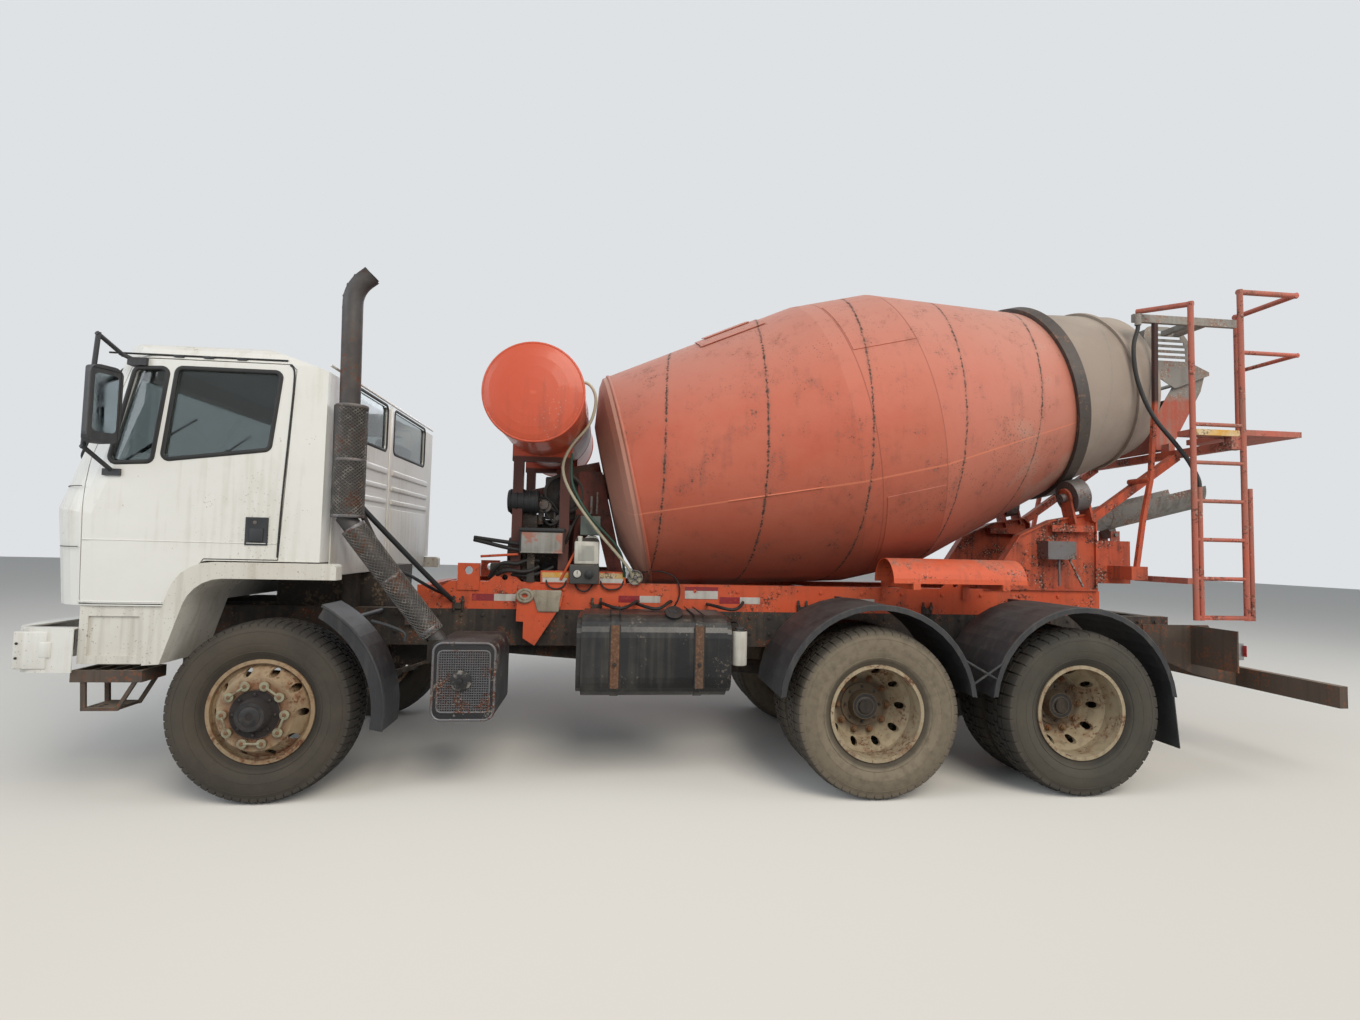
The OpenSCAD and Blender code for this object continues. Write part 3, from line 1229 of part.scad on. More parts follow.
module cab_interior() color("#3c3d40") at_axle() {
  seat(-seat_y);
  seat(seat_y);
  intersection() {
    union() {
      block([-1000, -850], [-cab_y + 150, cab_y - 150], [1560, 1810]);
      block([-1180, -849], [-cab_y + 100, cab_y - 100], [1790, 1840]);
      block([-960, -900], [-500, 500], [cab_floor, 1561]);
    }
    cab_volume(cab_wall + seat_gap);
  }
  rod([-880, -seat_y, 1780], [-705, -seat_y, 1905], 60);
  translate(wheel_at) rotate([0, -35, 0]) {
    rotate_extrude($fn = 48) translate([215, 0]) circle(d = 30, $fn = 16);
    cylinder(h = 30, d = 120, center = true, $fn = 32);
    for (a = [30, 150, 270])
      rotate([0, 0, a]) translate([0, -16, -8]) cube([212, 32, 16]);
  }
}

// One side's half of the cab
module cab_side_space(side) block([-1200, 300], side > 0 ? [600, cab_y + 50] : [-cab_y - 50, -600],
  [1000, 2700]);

module door(side) difference() {
  intersection() {
    cab_skin(0, cab_wall);
    door_space(0);
    cab_side_space(side);
  }
  for (points = [quarter_window, main_window])
    along_y(-cab_y - 20, cab_y + 20) polygon(points);
}

module door_glass(side) intersection() {
  cab_skin(glass_depth, glass_depth + glass_t);
  cab_side_space(side);
  union() {
    along_y(-cab_y, cab_y) polygon(inset(quarter_window, glass_gap));
    along_y(-cab_y, cab_y) polygon(inset(main_window, glass_gap));
  }
}

mirror_x = -790;
mirror_z = 2012;
mirror_turn = 20;

module mirror_head() {
  w = mirror_w / 2;
  intersection() {
    along_z(mirror_z, mirror_z + mirror_h) polygon(outline([[mirror_d / 2, -w, 4], [mirror_d / 2, w, 4],
      [-10, w, 40], [-mirror_d / 2 - 14, w * 0.4, 60], [-mirror_d / 2 - 14, -w * 0.4, 60],
      [-10, -w, 40]], 5));
    along_x(-mirror_d, mirror_d) polygon(outline([[-w, mirror_z, 50], [w, mirror_z, 50],
      [w, mirror_z + mirror_h, 50], [-w, mirror_z + mirror_h, 50]]));
  }
}

module mirror_arm_and_head() {
  y = cab_y + mirror_out;
  difference() {
    union() {
      tube_path([[-735, cab_y - 30, 2506], [-797, cab_y + 25, 2539], [-826, y, 2608],
        [-864, y, 1990], [-822, cab_y - 10, 1871]], mirror_arm_d);
      block([-775, -675], [cab_y - 60, cab_y + 14], [2484, 2528]);
      block([-868, -775], [cab_y - 20, cab_y + 14], [1852, 1890]);
    }
    cab_volume(0);
  }
  translate([mirror_x, y, 0]) rotate([0, 0, mirror_turn]) difference() {
    mirror_head();
    translate([mirror_d / 2, 0, mirror_z + mirror_h / 2])
      cube([10, mirror_w - 24, mirror_h - 40], center = true);
  }
}

module door_left() color("#ecebe7") at_axle() door(-1);
module door_right() color("#ecebe7") at_axle() door(1);
module door_glass_left() color("#4d5f63") at_axle() door_glass(-1);
module door_glass_right() color("#4d5f63") at_axle() door_glass(1);
module mirror_left() color("#17181a") at_axle() mirror([0, 1, 0]) mirror_arm_and_head();
module mirror_right() color("#17181a") at_axle() mirror_arm_and_head();

// Wheels and steering, each made about its own axis with +Z outwards

rim_r = rim_d / 2;
rim_half = rim_w / 2;
rim_out = rim_half + flange_t;
drum_bore = stub_d + 2 * running_fit;

module wheel_place(x, y, side) at_axle() translate([x, side * y, axle_z]) rotate([-90 * side, 0,
  0]) children();

tyre_half = outline([[rim_r + tyre_fit, 0, 0], [rim_r + tyre_fit, rim_half - tyre_fit, 0],
  [rim_r + rim_flange + 4, rim_half - tyre_fit, 0], [rim_r + 42, rim_half + 22, 20],
  [rim_r + 118, tyre_w / 2, 50], [axle_z - 62, tyre_w / 2 - 3, 40], [axle_z - 14, tyre_w / 2 - 22, 12],
  [axle_z - 3, tyre_w / 2 - 46, 14], [axle_z, 0, 0]], 4);
tyre_points = concat(tyre_half, [for (i = [len(tyre_half) - 2:-1:1]) [tyre_half[i].x, -tyre_half[i].y]]);

module tyre(z) translate([0, 0, z]) rotate_extrude($fn = 96) polygon(tyre_points);

module rim(z) translate([0, 0, z]) rotate_extrude($fn = 96) polygon([
  [rim_r - rim_wall, -rim_out], [rim_r + rim_flange, -rim_out], [rim_r + rim_flange, -rim_half],
    [rim_r, -rim_half],
  [rim_r, rim_half], [rim_r + rim_flange, rim_half], [rim_r + rim_flange, rim_out],
    [rim_r - rim_wall, rim_out]]);

// A dished disc; its flat face lies at disc_offset from the middle of its rim
module disc() difference() {
  rotate_extrude($fn = 96) polygon([
    [rim_r - rim_wall + 2, 34], [rim_r - rim_wall + 2, 80], [rim_r - 24, 84],
      [disc_flat_d / 2 + 8, disc_offset],
    [hub_d / 2 - 8, disc_offset], [hub_d / 2 - 8, disc_offset - disc_t],
      [disc_flat_d / 2, disc_offset - disc_t],
    [rim_r - 34, 66]]);
  for (i = [0:9])
    rotate([0, 0, i * 36]) translate([hand_hole_pcd / 2, 0, -10]) cylinder(h = disc_offset + 20,
      d = hand_hole_d, $fn = 24);
}

// Hub, cap and brake drum, with the flat of the disc at face; the brake drum lies inboard of back
module hub(face, back, inner) difference() {
  union() {
    translate([0, 0, back - brake_w - 12]) cylinder(h = face - back + brake_w + 12, d = 150, $fn = 64);
    translate([0, 0, back - 20]) cylinder(h = face - back + 30, d = hub_d, $fn = 64);
    translate([0, 0, face + 9]) cylinder(h = hub_cap_h, d1 = hub_cap_d, d2 = hub_cap_d - 26, $fn = 64);
    difference() {
      translate([0, 0, back - brake_w]) cylinder(h = brake_w, d = brake_d, $fn = 64);
      translate([0, 0, back - brake_w - 1]) cylinder(h = brake_w - 19, d = brake_d - 36, $fn = 64);
    }
  }
  translate([0, 0, back - brake_w - 100]) cylinder(h = 100 + inner, d = drum_bore, $fn = 64);
}

front_wheel_y = front_track / 2;
rear_wheel_y = rear_track / 2;
front_stub_end = front_wheel_y + disc_offset - 10;

module front_rim(side) color("#9a7a5c") wheel_place(0, front_wheel_y, side) {
  rim(0);
  disc();
  hub(disc_offset, disc_offset - disc_t, brake_w);
}

module rear_rims(x, side) color("#a89c8a") wheel_place(x, rear_wheel_y, side) {
  for (way = [-1, 1])
    rim(way * disc_offset);
  translate([0, 0, -disc_offset]) disc();
  translate([0, 0, disc_offset]) mirror([0, 0, 1]) disc();
  hub(disc_t, -disc_t, brake_w + stub_l / 2 + 12);
}

module front_tyre(side) color("#3d3a36") wheel_place(0, front_wheel_y, side) tyre(0);
module rear_tyres(x, side) color("#3d3a36") wheel_place(x, rear_wheel_y, side) {
  tyre(-disc_offset);
  tyre(disc_offset);
}

module rim_front_left() front_rim(-1);
module rim_front_right() front_rim(1);
module tyre_front_left() front_tyre(-1);
module tyre_front_right() front_tyre(1);
module rims_rear1_left() rear_rims(rear1_x, -1);
module rims_rear1_right() rear_rims(rear1_x, 1);
module rims_rear2_left() rear_rims(rear2_x, -1);
module rims_rear2_right() rear_rims(rear2_x, 1);
module tyres_rear1_left() rear_tyres(rear1_x, -1);
module tyres_rear1_right() rear_tyres(rear1_x, 1);
module tyres_rear2_left() rear_tyres(rear2_x, -1);
module tyres_rear2_right() rear_tyres(rear2_x, 1);

yoke_gap = 0.5;
arm_t = 34;
arm_w = 50;
track_z = axle_z - kingpin_eye_h / 2 - yoke_gap - yoke_h - 6 - arm_t + 2;
plate_y = kingpin_y + yoke_d / 2 + 8;

module knuckle() difference() {
  union() {
    for (way = [-1, 1])
      translate([0, kingpin_y, axle_z + way * (kingpin_eye_h / 2 + yoke_gap + yoke_h / 2)]) {
        cylinder(h = yoke_h, d = yoke_d, center = true, $fn = 48);
        translate([-yoke_d / 2 + 6, 0, -yoke_h / 2]) cube([yoke_d - 12, yoke_d / 2 + 20, yoke_h]);
      }
    block([-60, 60], [plate_y, plate_y + 22], [axle_z - kingpin_eye_h / 2 - yoke_h,
      axle_z + kingpin_eye_h / 2 + yoke_h]);
    rod([0, plate_y + 20, axle_z], [0, plate_y + 30, axle_z], brake_d - 30);
    rod([0, plate_y + 10, axle_z], [0, front_stub_end - 8, axle_z], stub_d);
    along_z(track_z + 6, track_z + 6 + arm_t) polygon([[-30, kingpin_y - 40], [60, kingpin_y - 40],
      [track_arm_l + 26, kingpin_y - 22], [track_arm_l + 26, kingpin_y + 22], [60, kingpin_y + 40],
      [-30, kingpin_y + 40]]);
    translate([track_arm_l, kingpin_y, track_z - track_rod_d - 14])
      cylinder(h = arm_t + track_rod_d + 20, d = track_pin_d, $fn = 32);
  }
  translate([0, kingpin_y, axle_z - kingpin_eye_h / 2 - yoke_h - 10])
    cylinder(h = kingpin_eye_h + 2 * yoke_h + 30, d = kingpin_d + 2 * running_fit, $fn = 48);
}

module knuckle_right() color("#4a423a") at_axle() knuckle();
module knuckle_left() color("#4a423a") at_axle() mirror([0, 1, 0]) knuckle();

module track_rod() color("#3a3532") at_axle() difference() {
  union() {
    rod([track_arm_l, -kingpin_y + 20, track_z - track_rod_d / 2 - 2],
      [track_arm_l, kingpin_y - 20, track_z - track_rod_d / 2 - 2], track_rod_d);
    for (side = [-1, 1])
      translate([track_arm_l, side * kingpin_y, track_z - track_rod_d - 4])
        cylinder(h = track_rod_d + 4, d = track_pin_d + 40, $fn = 32);
  }
  for (side = [-1, 1])
    translate([track_arm_l, side * kingpin_y, track_z - track_rod_d - 20])
      cylinder(h = track_rod_d + 40, d = track_pin_d + 2 * running_fit, $fn = 32);
}

// The drum

cone_s = front_cone_l + drum_middle_l;
drum_end = cone_s + rear_cone_l;
drum_line = [[head_flat_d / 2, -head_bulge], [drum_front_d / 2 - 60, -36], [drum_front_d / 2, 0],
  [drum_d / 2, front_cone_l], [drum_d / 2, cone_s], [drum_waist_d / 2, ring_s], [mouth_d / 2, drum_end]];
function rear_cone_r(s) = lookup(s, [[cone_s, drum_d / 2], [ring_s, drum_waist_d / 2],
  [drum_end, mouth_d / 2]]);
flange_s = drum_end - 250;

module drum() color("#c8553a") at_axle() on_drum() {
  rotate_extrude($fn = 120) polygon(concat([[0, -head_bulge]], drum_line,
    [[mouth_d / 2 - drum_wall, drum_end], [drum_waist_d / 2 - drum_wall, ring_s],
      [drum_d / 2 - drum_wall, cone_s],
    [drum_d / 2 - drum_wall, front_cone_l], [drum_front_d / 2 - drum_wall, drum_wall],
    [head_flat_d / 2, -head_bulge + drum_wall], [0, -head_bulge + drum_wall]]));
  rotate_extrude($fn = 120) polygon([[rear_cone_r(flange_s) - 4, flange_s],
    [rear_cone_r(flange_s) + 22, flange_s],
    [rear_cone_r(flange_s) + 22, flange_s + 26], [rear_cone_r(flange_s + 26) - 4, flange_s + 26]]);
  translate([0, 0, gearbox_s[1] - 110]) cylinder(h = -gearbox_s[1] + 110 - head_bulge + 4,
    d = drive_d, $fn = 64);
}

module drum_ring() color("#2e2e30") at_axle() on_drum() rotate_extrude($fn = 120) polygon([
  [rear_cone_r(ring_s - ring_w / 2) + seat_gap, ring_s - ring_w / 2], [ring_d / 2, ring_s - ring_w / 2],
  [ring_d / 2, ring_s + ring_w / 2], [rear_cone_r(ring_s + ring_w / 2) + seat_gap, ring_s + ring_w / 2],
  [drum_waist_d / 2 + seat_gap, ring_s]]);

module roller(side) at_roller(side) {
  translate([0, 0, -roller_w / 2]) cylinder(h = roller_w, d = roller_d, $fn = 64);
  translate([0, 0, -roller_w / 2 - 60]) cylinder(h = roller_w + 120, d = roller_shaft_d, $fn = 48);
}

module roller_left() color("#38383a") at_axle() roller(-1);
module roller_right() color("#38383a") at_axle() roller(1);

// The discharge chute

slew_z = [slew_sleeve_z[0] + 5, chute_z - 60];
chute_pin_w = 60;

module chute_post() color("#55504a") at_axle() {
  translate([chute_x, 0, slew_z[0]]) cylinder(h = slew_z[1] - slew_z[0], d = slew_d, $fn = 48);
  translate([chute_x, 0, slew_sleeve_z[1] + seat_gap]) cylinder(h = 20, d = slew_d + 46, $fn = 48);
  for (side = [-1, 1])
    difference() {
      block([chute_x - 40, chute_x + 40], side < 0 ? [-chute_pin_w - 12,
        -chute_pin_w] : [chute_pin_w, chute_pin_w + 12],
        [slew_z[1] - 20, chute_z + 30]);
      translate([chute_x, -200, chute_z]) rotate([-90, 0, 0])
        cylinder(h = 400, d = lift_pin_d + 2 * running_fit, $fn = 32);
    }
  block([chute_x - 40, chute_x + 40], [-chute_pin_w - 12, chute_pin_w + 12], [slew_z[1] - 20, slew_z[1]]);
}

module chute() color("#b3aa98") at_axle() translate([chute_x, 0, chute_z]) rotate([0, -chute_rest, 0]) {
  translate([0, 0, chute_r + 46]) along_x(-60, chute_l) polygon(ring_sector(chute_r - chute_t,
    chute_r, 180, 360, 20));
  translate([0, -chute_pin_w - 30, 0]) rotate([-90, 0, 0]) cylinder(h = 2 * chute_pin_w + 60,
    d = lift_pin_d, $fn = 32);
  block([-30, 30], [-chute_pin_w + 6, chute_pin_w - 6], [-24, 52]);
}

chassis_frame();
front_axle();
rear_axles();
leaf_springs();
engine();
mudguards();
bumper();
lamps();
cab_steps();
fuel_tank();
silencer();
exhaust_stack();
subframe();
mixer_engine();
water_tank();
front_pedestal();
rear_pedestal();
hopper();
ladder();
spare_chute();
underrun_bar();
rear_hose();
chute_valve();
cab_shell();
cab_roof();
cab_front();
cab_glass();
cab_arches();
cab_interior();
door_left();
door_right();
door_glass_left();
door_glass_right();
mirror_left();
mirror_right();
knuckle_left();
knuckle_right();
track_rod();
rim_front_left();
rim_front_right();
tyre_front_left();
tyre_front_right();
rims_rear1_left();
rims_rear1_right();
rims_rear2_left();
rims_rear2_right();
tyres_rear1_left();
tyres_rear1_right();
tyres_rear2_left();
tyres_rear2_right();
drum();
drum_ring();
roller_left();
roller_right();
chute_post();
chute();
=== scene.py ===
# %% [markdown]
# # A concrete mixer truck, dressed for its picture
# The truck's frame comes packed: every rail, panel, wheel and roller is already a solid in its place, in
# metres. This lesson gives those solids the finishes of a truck that has carried concrete for years, and adds
# what a solid model leaves out: tread, nuts, welds, straps, hoses and lamps. Each cell can be run and looked
# at by itself.

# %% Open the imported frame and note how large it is
import bpy
import math
from mathutils import Matrix, Vector


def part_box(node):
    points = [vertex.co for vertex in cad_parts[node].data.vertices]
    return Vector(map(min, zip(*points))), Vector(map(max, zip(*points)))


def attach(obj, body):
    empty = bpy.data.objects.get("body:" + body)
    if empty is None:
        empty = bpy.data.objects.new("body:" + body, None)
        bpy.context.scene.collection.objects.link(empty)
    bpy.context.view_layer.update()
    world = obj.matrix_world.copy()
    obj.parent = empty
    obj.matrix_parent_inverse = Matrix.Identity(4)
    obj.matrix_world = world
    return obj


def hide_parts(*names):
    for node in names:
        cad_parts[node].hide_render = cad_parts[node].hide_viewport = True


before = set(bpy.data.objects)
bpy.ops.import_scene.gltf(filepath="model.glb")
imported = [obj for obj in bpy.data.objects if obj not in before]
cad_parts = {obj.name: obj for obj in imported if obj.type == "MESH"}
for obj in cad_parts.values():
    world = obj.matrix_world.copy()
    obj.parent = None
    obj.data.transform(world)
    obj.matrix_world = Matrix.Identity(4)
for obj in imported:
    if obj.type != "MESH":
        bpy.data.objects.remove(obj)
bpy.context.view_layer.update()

# %% [markdown]
# ## The camera
# The picture was taken with a very wide lens from about five metres, at eye height, a little ahead of the
# middle. A camera can be placed by an Euler rotation, but three measured directions in the columns of a
# matrix say the same without any question of the order of turns.

# %% Stand the camera where the photographer stood
camera = bpy.data.objects.new("camera", bpy.data.cameras.new("camera"))
bpy.context.scene.collection.objects.link(camera)
camera.data.sensor_width = 36.0
camera.data.lens = 17.764
camera_right = Vector((0.99413461, -0.1058749, 0.02206563))
camera_forward = Vector((0.10455339, 0.99303726, 0.05427332))
camera_up = Vector((-0.02765818, -0.05164795, 0.99828228))
turn = Matrix((camera_right, camera_up, -camera_forward)).transposed().to_4x4()
camera.matrix_world = Matrix.Translation((-0.8168, -5.24, 1.5237)) @ turn
bpy.context.scene.camera = camera
print("camera lens", round(camera.data.lens, 2), "mm")

# %% [markdown]
# ## Floor and light
# A pale floor keeps the shadow, and a pale surround gives glass and metal something to mirror. The surround
# is bright only for the camera and for reflections, so it adds no light of its own to the paint.

# %% Pour the floor and hang the lamps
def linear(code):
    """An sRGB hex colour as the linear RGBA that a shader works with."""
    parts = [int(code[i:i + 2], 16) / 255 for i in (1, 3, 5)]
    return [c / 12.92 if c <= 0.04045 else ((c + 0.055) / 1.055) ** 2.4 for c in parts] + [1.0]


def add(tree, kind, links=None, **settings):
    """A node of that kind with its settings, its inputs set to values or linked to outputs."""
    made = tree.nodes.new(kind)
    for name, value in settings.items():
        setattr(made, name, value)
    for name, value in (links or {}).items():
        if isinstance(value, bpy.types.NodeSocket):
            tree.links.new(value, made.inputs[name])
        else:
            made.inputs[name].default_value = value
    return made


def new_material(name):
    """An empty node material, its tree and its output node."""
    material = bpy.data.materials.new(name)
    material.use_nodes = True
    material.node_tree.nodes.clear()
    return material, material.node_tree, material.node_tree.nodes.new("ShaderNodeOutputMaterial")


def nothing_selected():
    """Operators act on all that is selected, so each step starts from nothing."""
    if bpy.context.object and bpy.context.object.mode != "OBJECT":
        bpy.ops.object.mode_set(mode="OBJECT")
    bpy.ops.object.select_all(action="DESELECT")


nothing_selected()
bpy.ops.mesh.primitive_grid_add(x_subdivisions=2, y_subdivisions=2, size=80, location=(0, 0, 0))
floor = bpy.context.object
floor.name = "floor"

# A matt pale coat, so that only the shadow draws the eye.
floor_paint, tree, output = new_material("pale_studio_floor")
shade = add(tree, "ShaderNodeBsdfDiffuse", {"Color": linear("#cfcdc8"), "Roughness": 1.0})
tree.links.new(shade.outputs[0], output.inputs["Surface"])
floor.data.materials.append(floor_paint)

world = bpy.data.worlds.new("studio")
bpy.context.scene.world = world
world.use_nodes = True
tree = world.node_tree
tree.nodes.clear()
seen = add(tree, "ShaderNodeLightPath").outputs
mirrored = add(tree, "ShaderNodeMath", {0: seen["Is Camera Ray"], 1: seen["Is Glossy Ray"]},
    operation="MAXIMUM")
through = add(tree, "ShaderNodeMath", {0: mirrored.outputs[0], 1: seen["Is Transmission Ray"]},
    operation="MAXIMUM")
soft_fill = add(tree, "ShaderNodeBackground", {"Color": linear("#dfe6ee"), "Strength": 0.55})
backdrop = add(tree, "ShaderNodeBackground", {"Color": linear("#e4e7ea"), "Strength": 0.95})
mixed = add(tree, "ShaderNodeMixShader", {0: through.outputs[0], 1: soft_fill.outputs[0],
    2: backdrop.outputs[0]})
add(tree, "ShaderNodeOutputWorld", {"Surface": mixed.outputs[0]})
bpy.context.scene.view_settings.view_transform = "Standard"

# Each lamp has its place, its size in metres, its power in watts and its colour, and looks at the truck's
# middle.
lamps = (("sun_side", (2.5, -9.5, 8.5), 7.0, 900, "#fff6e8"), ("front_fill", (-9.0, -5.0, 5.0), 6.0, 330,
    "#eef3fa"), ("rear_fill", (10.0, -3.0, 6.0), 6.0, 330, "#f4f4f2"),
    ("far_side", (0.0, 10.0, 8.0), 8.0, 420, "#eef3fa"))
for name, place, size, power, colour in lamps:
    lamp = bpy.data.lights.new(name, "AREA")
    lamp.size = size
    lamp.energy = power
    lamp.color = linear(colour)[:3]
    hung = bpy.data.objects.new(name, lamp)
    bpy.context.scene.collection.objects.link(hung)
    hung.location = place
    hung.rotation_euler = (Vector((0, 0, 1.2)) - Vector(place)).to_track_quat("-Z", "Y").to_euler()
print("floor, surround and", len(lamps), "lamps are in place")

# %% [markdown]
# ## Finishes that have worked for years
# No surface of this truck has one colour: sun fades it in clouds, rain draws streaks, stones chip it, cement
# spatters it and dust lies on all that faces up. Each could be painted into an image, but a picture is tied
# to one shape. Here every kind of wear is a pattern in the object's own metres, and a finish is a list of
# coats over a base colour: where a pattern passes from start to full, that coat shows.

# %% Patterns of wear, each a value that runs through the object's space
drum_head = Vector((-0.715, 0.0, 2.005))
drum_tilt = math.radians(13.1)
drum_axis = Vector((math.cos(drum_tilt), 0.0, math.sin(drum_tilt)))
helix_pitch, helix_start, helix_width = 0.684, 0.599, 0.046
seam_angle = math.radians(110.5)
shell_laps = (1.630, 2.090)
pattern_scale = {"clouds": 1.6, "patches": 6.0, "mottle": 22.0, "chips": 55.0}


def pattern(tree, here, words, centre=(0.0, 0.0, 0.0)):
    """The value of one pattern, or the product of several named in one string."""
    product = None
    for word in words.split():
        sums = []
        if word in pattern_scale:
            value = add(tree, "ShaderNodeTexNoise", {"Vector": here, "Scale": pattern_scale[word],
                "Detail": 5.0, "Roughness": 0.62}).outputs["Fac"]
        elif word == "streaks":
            drawn_out = add(tree, "ShaderNodeMapping", {"Vector": here, "Scale": (24.0, 24.0,
                1.3)}).outputs[0]
            value = add(tree, "ShaderNodeTexNoise", {"Vector": drawn_out, "Scale": 1.0,
                "Detail": 4.0}).outputs["Fac"]
        elif word == "specks":
            spots = add(tree, "ShaderNodeTexVoronoi", {"Vector": here, "Scale": 46.0, "Randomness": 1.0})
            value = spots.outputs["Distance"]
            sums = [("MULTIPLY", -1.0), ("ADD", 1.0)]
        elif word == "up":
            normal = add(tree, "ShaderNodeNewGeometry").outputs["Normal"]
            value = add(tree, "ShaderNodeSeparateXYZ", {0: normal}).outputs["Z"]
        elif word == "spokes":
            middle = add(tree, "ShaderNodeVectorMath", {0: here, 1: centre}, operation="SUBTRACT").outputs[0]
            flat = add(tree, "ShaderNodeVectorMath", {0: middle, 1: (1.0, 0.0, 1.0)},
                operation="MULTIPLY").outputs[0]
            value = add(tree, "ShaderNodeVectorMath", {0: flat}, operation="LENGTH").outputs["Value"]
        elif word in ("along", "helix", "lap", "seam"):
            from_head = add(tree, "ShaderNodeVectorMath", {0: here, 1: tuple(drum_head)},
                operation="SUBTRACT")
            level = add(tree, "ShaderNodeMapping", {"Vector": from_head.outputs[0],
                "Rotation": (0.0, drum_tilt, 0.0)})
            along, sideways, above = add(tree, "ShaderNodeSeparateXYZ", {0: level.outputs[0]}).outputs
            angle = [("MULTIPLY", -1.0), ("ARCTAN2", above)]
            value = sideways if word in ("helix", "seam") else along
            if word == "helix":
                sums = angle + [("MULTIPLY_ADD", helix_pitch / math.pi, along), ("SUBTRACT", helix_start),
                    ("PINGPONG", helix_pitch / 2), ("MULTIPLY_ADD", -1 / helix_width, 1.0)]
            if word == "seam":
                sums = angle + [("COMPARE", seam_angle, 0.006)]
            if word == "lap":
                first = add(tree, "ShaderNodeMath", {0: along, 1: shell_laps[0], 2: 0.004},
                    operation="COMPARE")
                sums = [("COMPARE", shell_laps[1], 0.004), ("MAXIMUM", first.outputs[0])]
        else:
            value = add(tree, "ShaderNodeSeparateXYZ", {0: here}).outputs[word.upper()]
        if product is not None:
            sums.append(("MULTIPLY", product))
        for operation, *others in sums:
            value = add(tree, "ShaderNodeMath", dict(enumerate([value, *others])),
                operation=operation).outputs[0]
        product = value
    return product


def weathered(name, base, coats, roughness=0.5, metallic=0.0, relief=0.25, bump_scale=60.0,
        centre=(0.0, 0.0, 0.0), coat=0.0):
    """A finish: a base colour under coats of (pattern, start, full, share, colour), lowest first."""
    material, tree, output = new_material(name)
    here = add(tree, "ShaderNodeTexCoord").outputs["Object"]
    colour = linear(base)
    dulled = 0.0
    for words, start, full, share, hue in coats:
        amount = add(tree, "ShaderNodeMapRange", {"Value": pattern(tree, here, words, centre),
            "From Min": start, "From Max": full, "To Max": share}).outputs[0]
        colour = add(tree, "ShaderNodeMix", {0: amount, 6: colour, 7: linear(hue)},
            data_type="RGBA").outputs[2]
        dulled = add(tree, "ShaderNodeMath", {0: dulled, 1: amount}, operation="MAXIMUM").outputs[0]
    rough = add(tree, "ShaderNodeMapRange", {"Value": dulled, "To Min": roughness,
        "To Max": min(1.0, roughness + 0.35)}).outputs[0]
    pits = add(tree, "ShaderNodeTexNoise", {"Vector": here, "Scale": bump_scale,
        "Detail": 5.0}).outputs["Fac"]
    bump = add(tree, "ShaderNodeBump", {"Height": pits, "Strength": relief, "Distance": 0.004}).outputs[0]
    shade = add(tree, "ShaderNodeBsdfPrincipled", {"Base Color": colour, "Roughness": rough,
        "Metallic": metallic, "Normal": bump, "Coat Weight": coat})
    tree.links.new(shade.outputs[0], output.inputs["Surface"])
    return material


def filmed(name, hue, clean, dusty, scale, start, settings):
    """A clear or mirroring finish with a film of dust that makes it rougher in patches."""
    material, tree, output = new_material(name)
    here = add(tree, "ShaderNodeTexCoord").outputs["Object"]
    film = add(tree, "ShaderNodeTexNoise", {"Vector": here, "Scale": scale, "Detail": 5.0}).outputs["Fac"]
    rough = add(tree, "ShaderNodeMapRange", {"Value": film, "From Min": start, "From Max": 0.8,
        "To Min": clean, "To Max": dusty}).outputs[0]
    shade = add(tree, "ShaderNodeBsdfPrincipled", {"Base Color": linear(hue), "Roughness": rough, **settings})
    tree.links.new(shade.outputs[0], output.inputs["Surface"])
    return material


print("patterns ready:", ", ".join(pattern_scale), "and nine more")

# %% [markdown]
# ## Painted steel: the white cab and the orange mixer
# The cab is truck enamel, a glossy baked paint that has gone chalky. The mixer's frames wear a cheap orange
# machine enamel, repainted over rust and cement. Each finish below has a word on what it gives the eye.

# %% Mix the enamels
cement = "#a49d92"
rust = "#6d3f28"
# The patterns that come back most, each with where it starts and where it is full.
faded = ("clouds", 0.35, 0.7)
blotched = ("clouds", 0.35, 0.65)
shaded = ("clouds", 0.4, 0.7)
chipped = ("chips patches", 0.30, 0.36)
streaked = ("streaks patches", 0.2, 0.4)
dusted = ("up patches", 0.25, 0.7)
lit_tops = ("up patches", 0.3, 0.7)
spattered = ("specks patches", 0.42, 0.5)
rained_on = ("streaks", 0.5, 0.75)
# white gone chalky, with soft clouds and a little gloss left
cab_enamel = weathered("chalky_white_truck_enamel", "#dddcd6", [
    ("clouds", 0.35, 0.75, 0.55, "#cfcdc4"), ("streaks clouds", 0.27, 0.42, 0.35, "#b3ab9b"),
    ("chips patches", 0.40, 0.43, 0.7, "#8c6f5c"), ("specks clouds", 0.50, 0.53, 0.35, "#8f887c"),
    ("up patches", 0.2, 0.75, 0.5, "#b4ab9b")], roughness=0.3, relief=0.05, coat=0.2)
# the same white where the wheels throw mud at it
arch_enamel = weathered("mud_stained_white_enamel", "#d3d0c7", [
    (*faded, 0.6, "#b9b3a5"), (*rained_on, 0.4, "#968b78"), ("chips patches", 0.37, 0.41, 0.8, "#6b5040"),
    ("specks", 0.8, 0.86, 0.4, "#8c8170")], roughness=0.42, relief=0.1)
# orange, chipped to a dark primer and spattered with cement
mixer_orange = weathered("orange_machine_enamel", "#c64b23", [
    (*faded, 0.6, "#c8643f"), ("streaks patches", 0.24, 0.42, 0.5, "#7d3a2a"),
    ("chips patches", 0.33, 0.37, 0.85, "#41291f"), ("specks patches", 0.47, 0.52, 0.6, cement),
    ("up patches", 0.25, 0.75, 0.55, "#a08a7c")], roughness=0.45, relief=0.2)
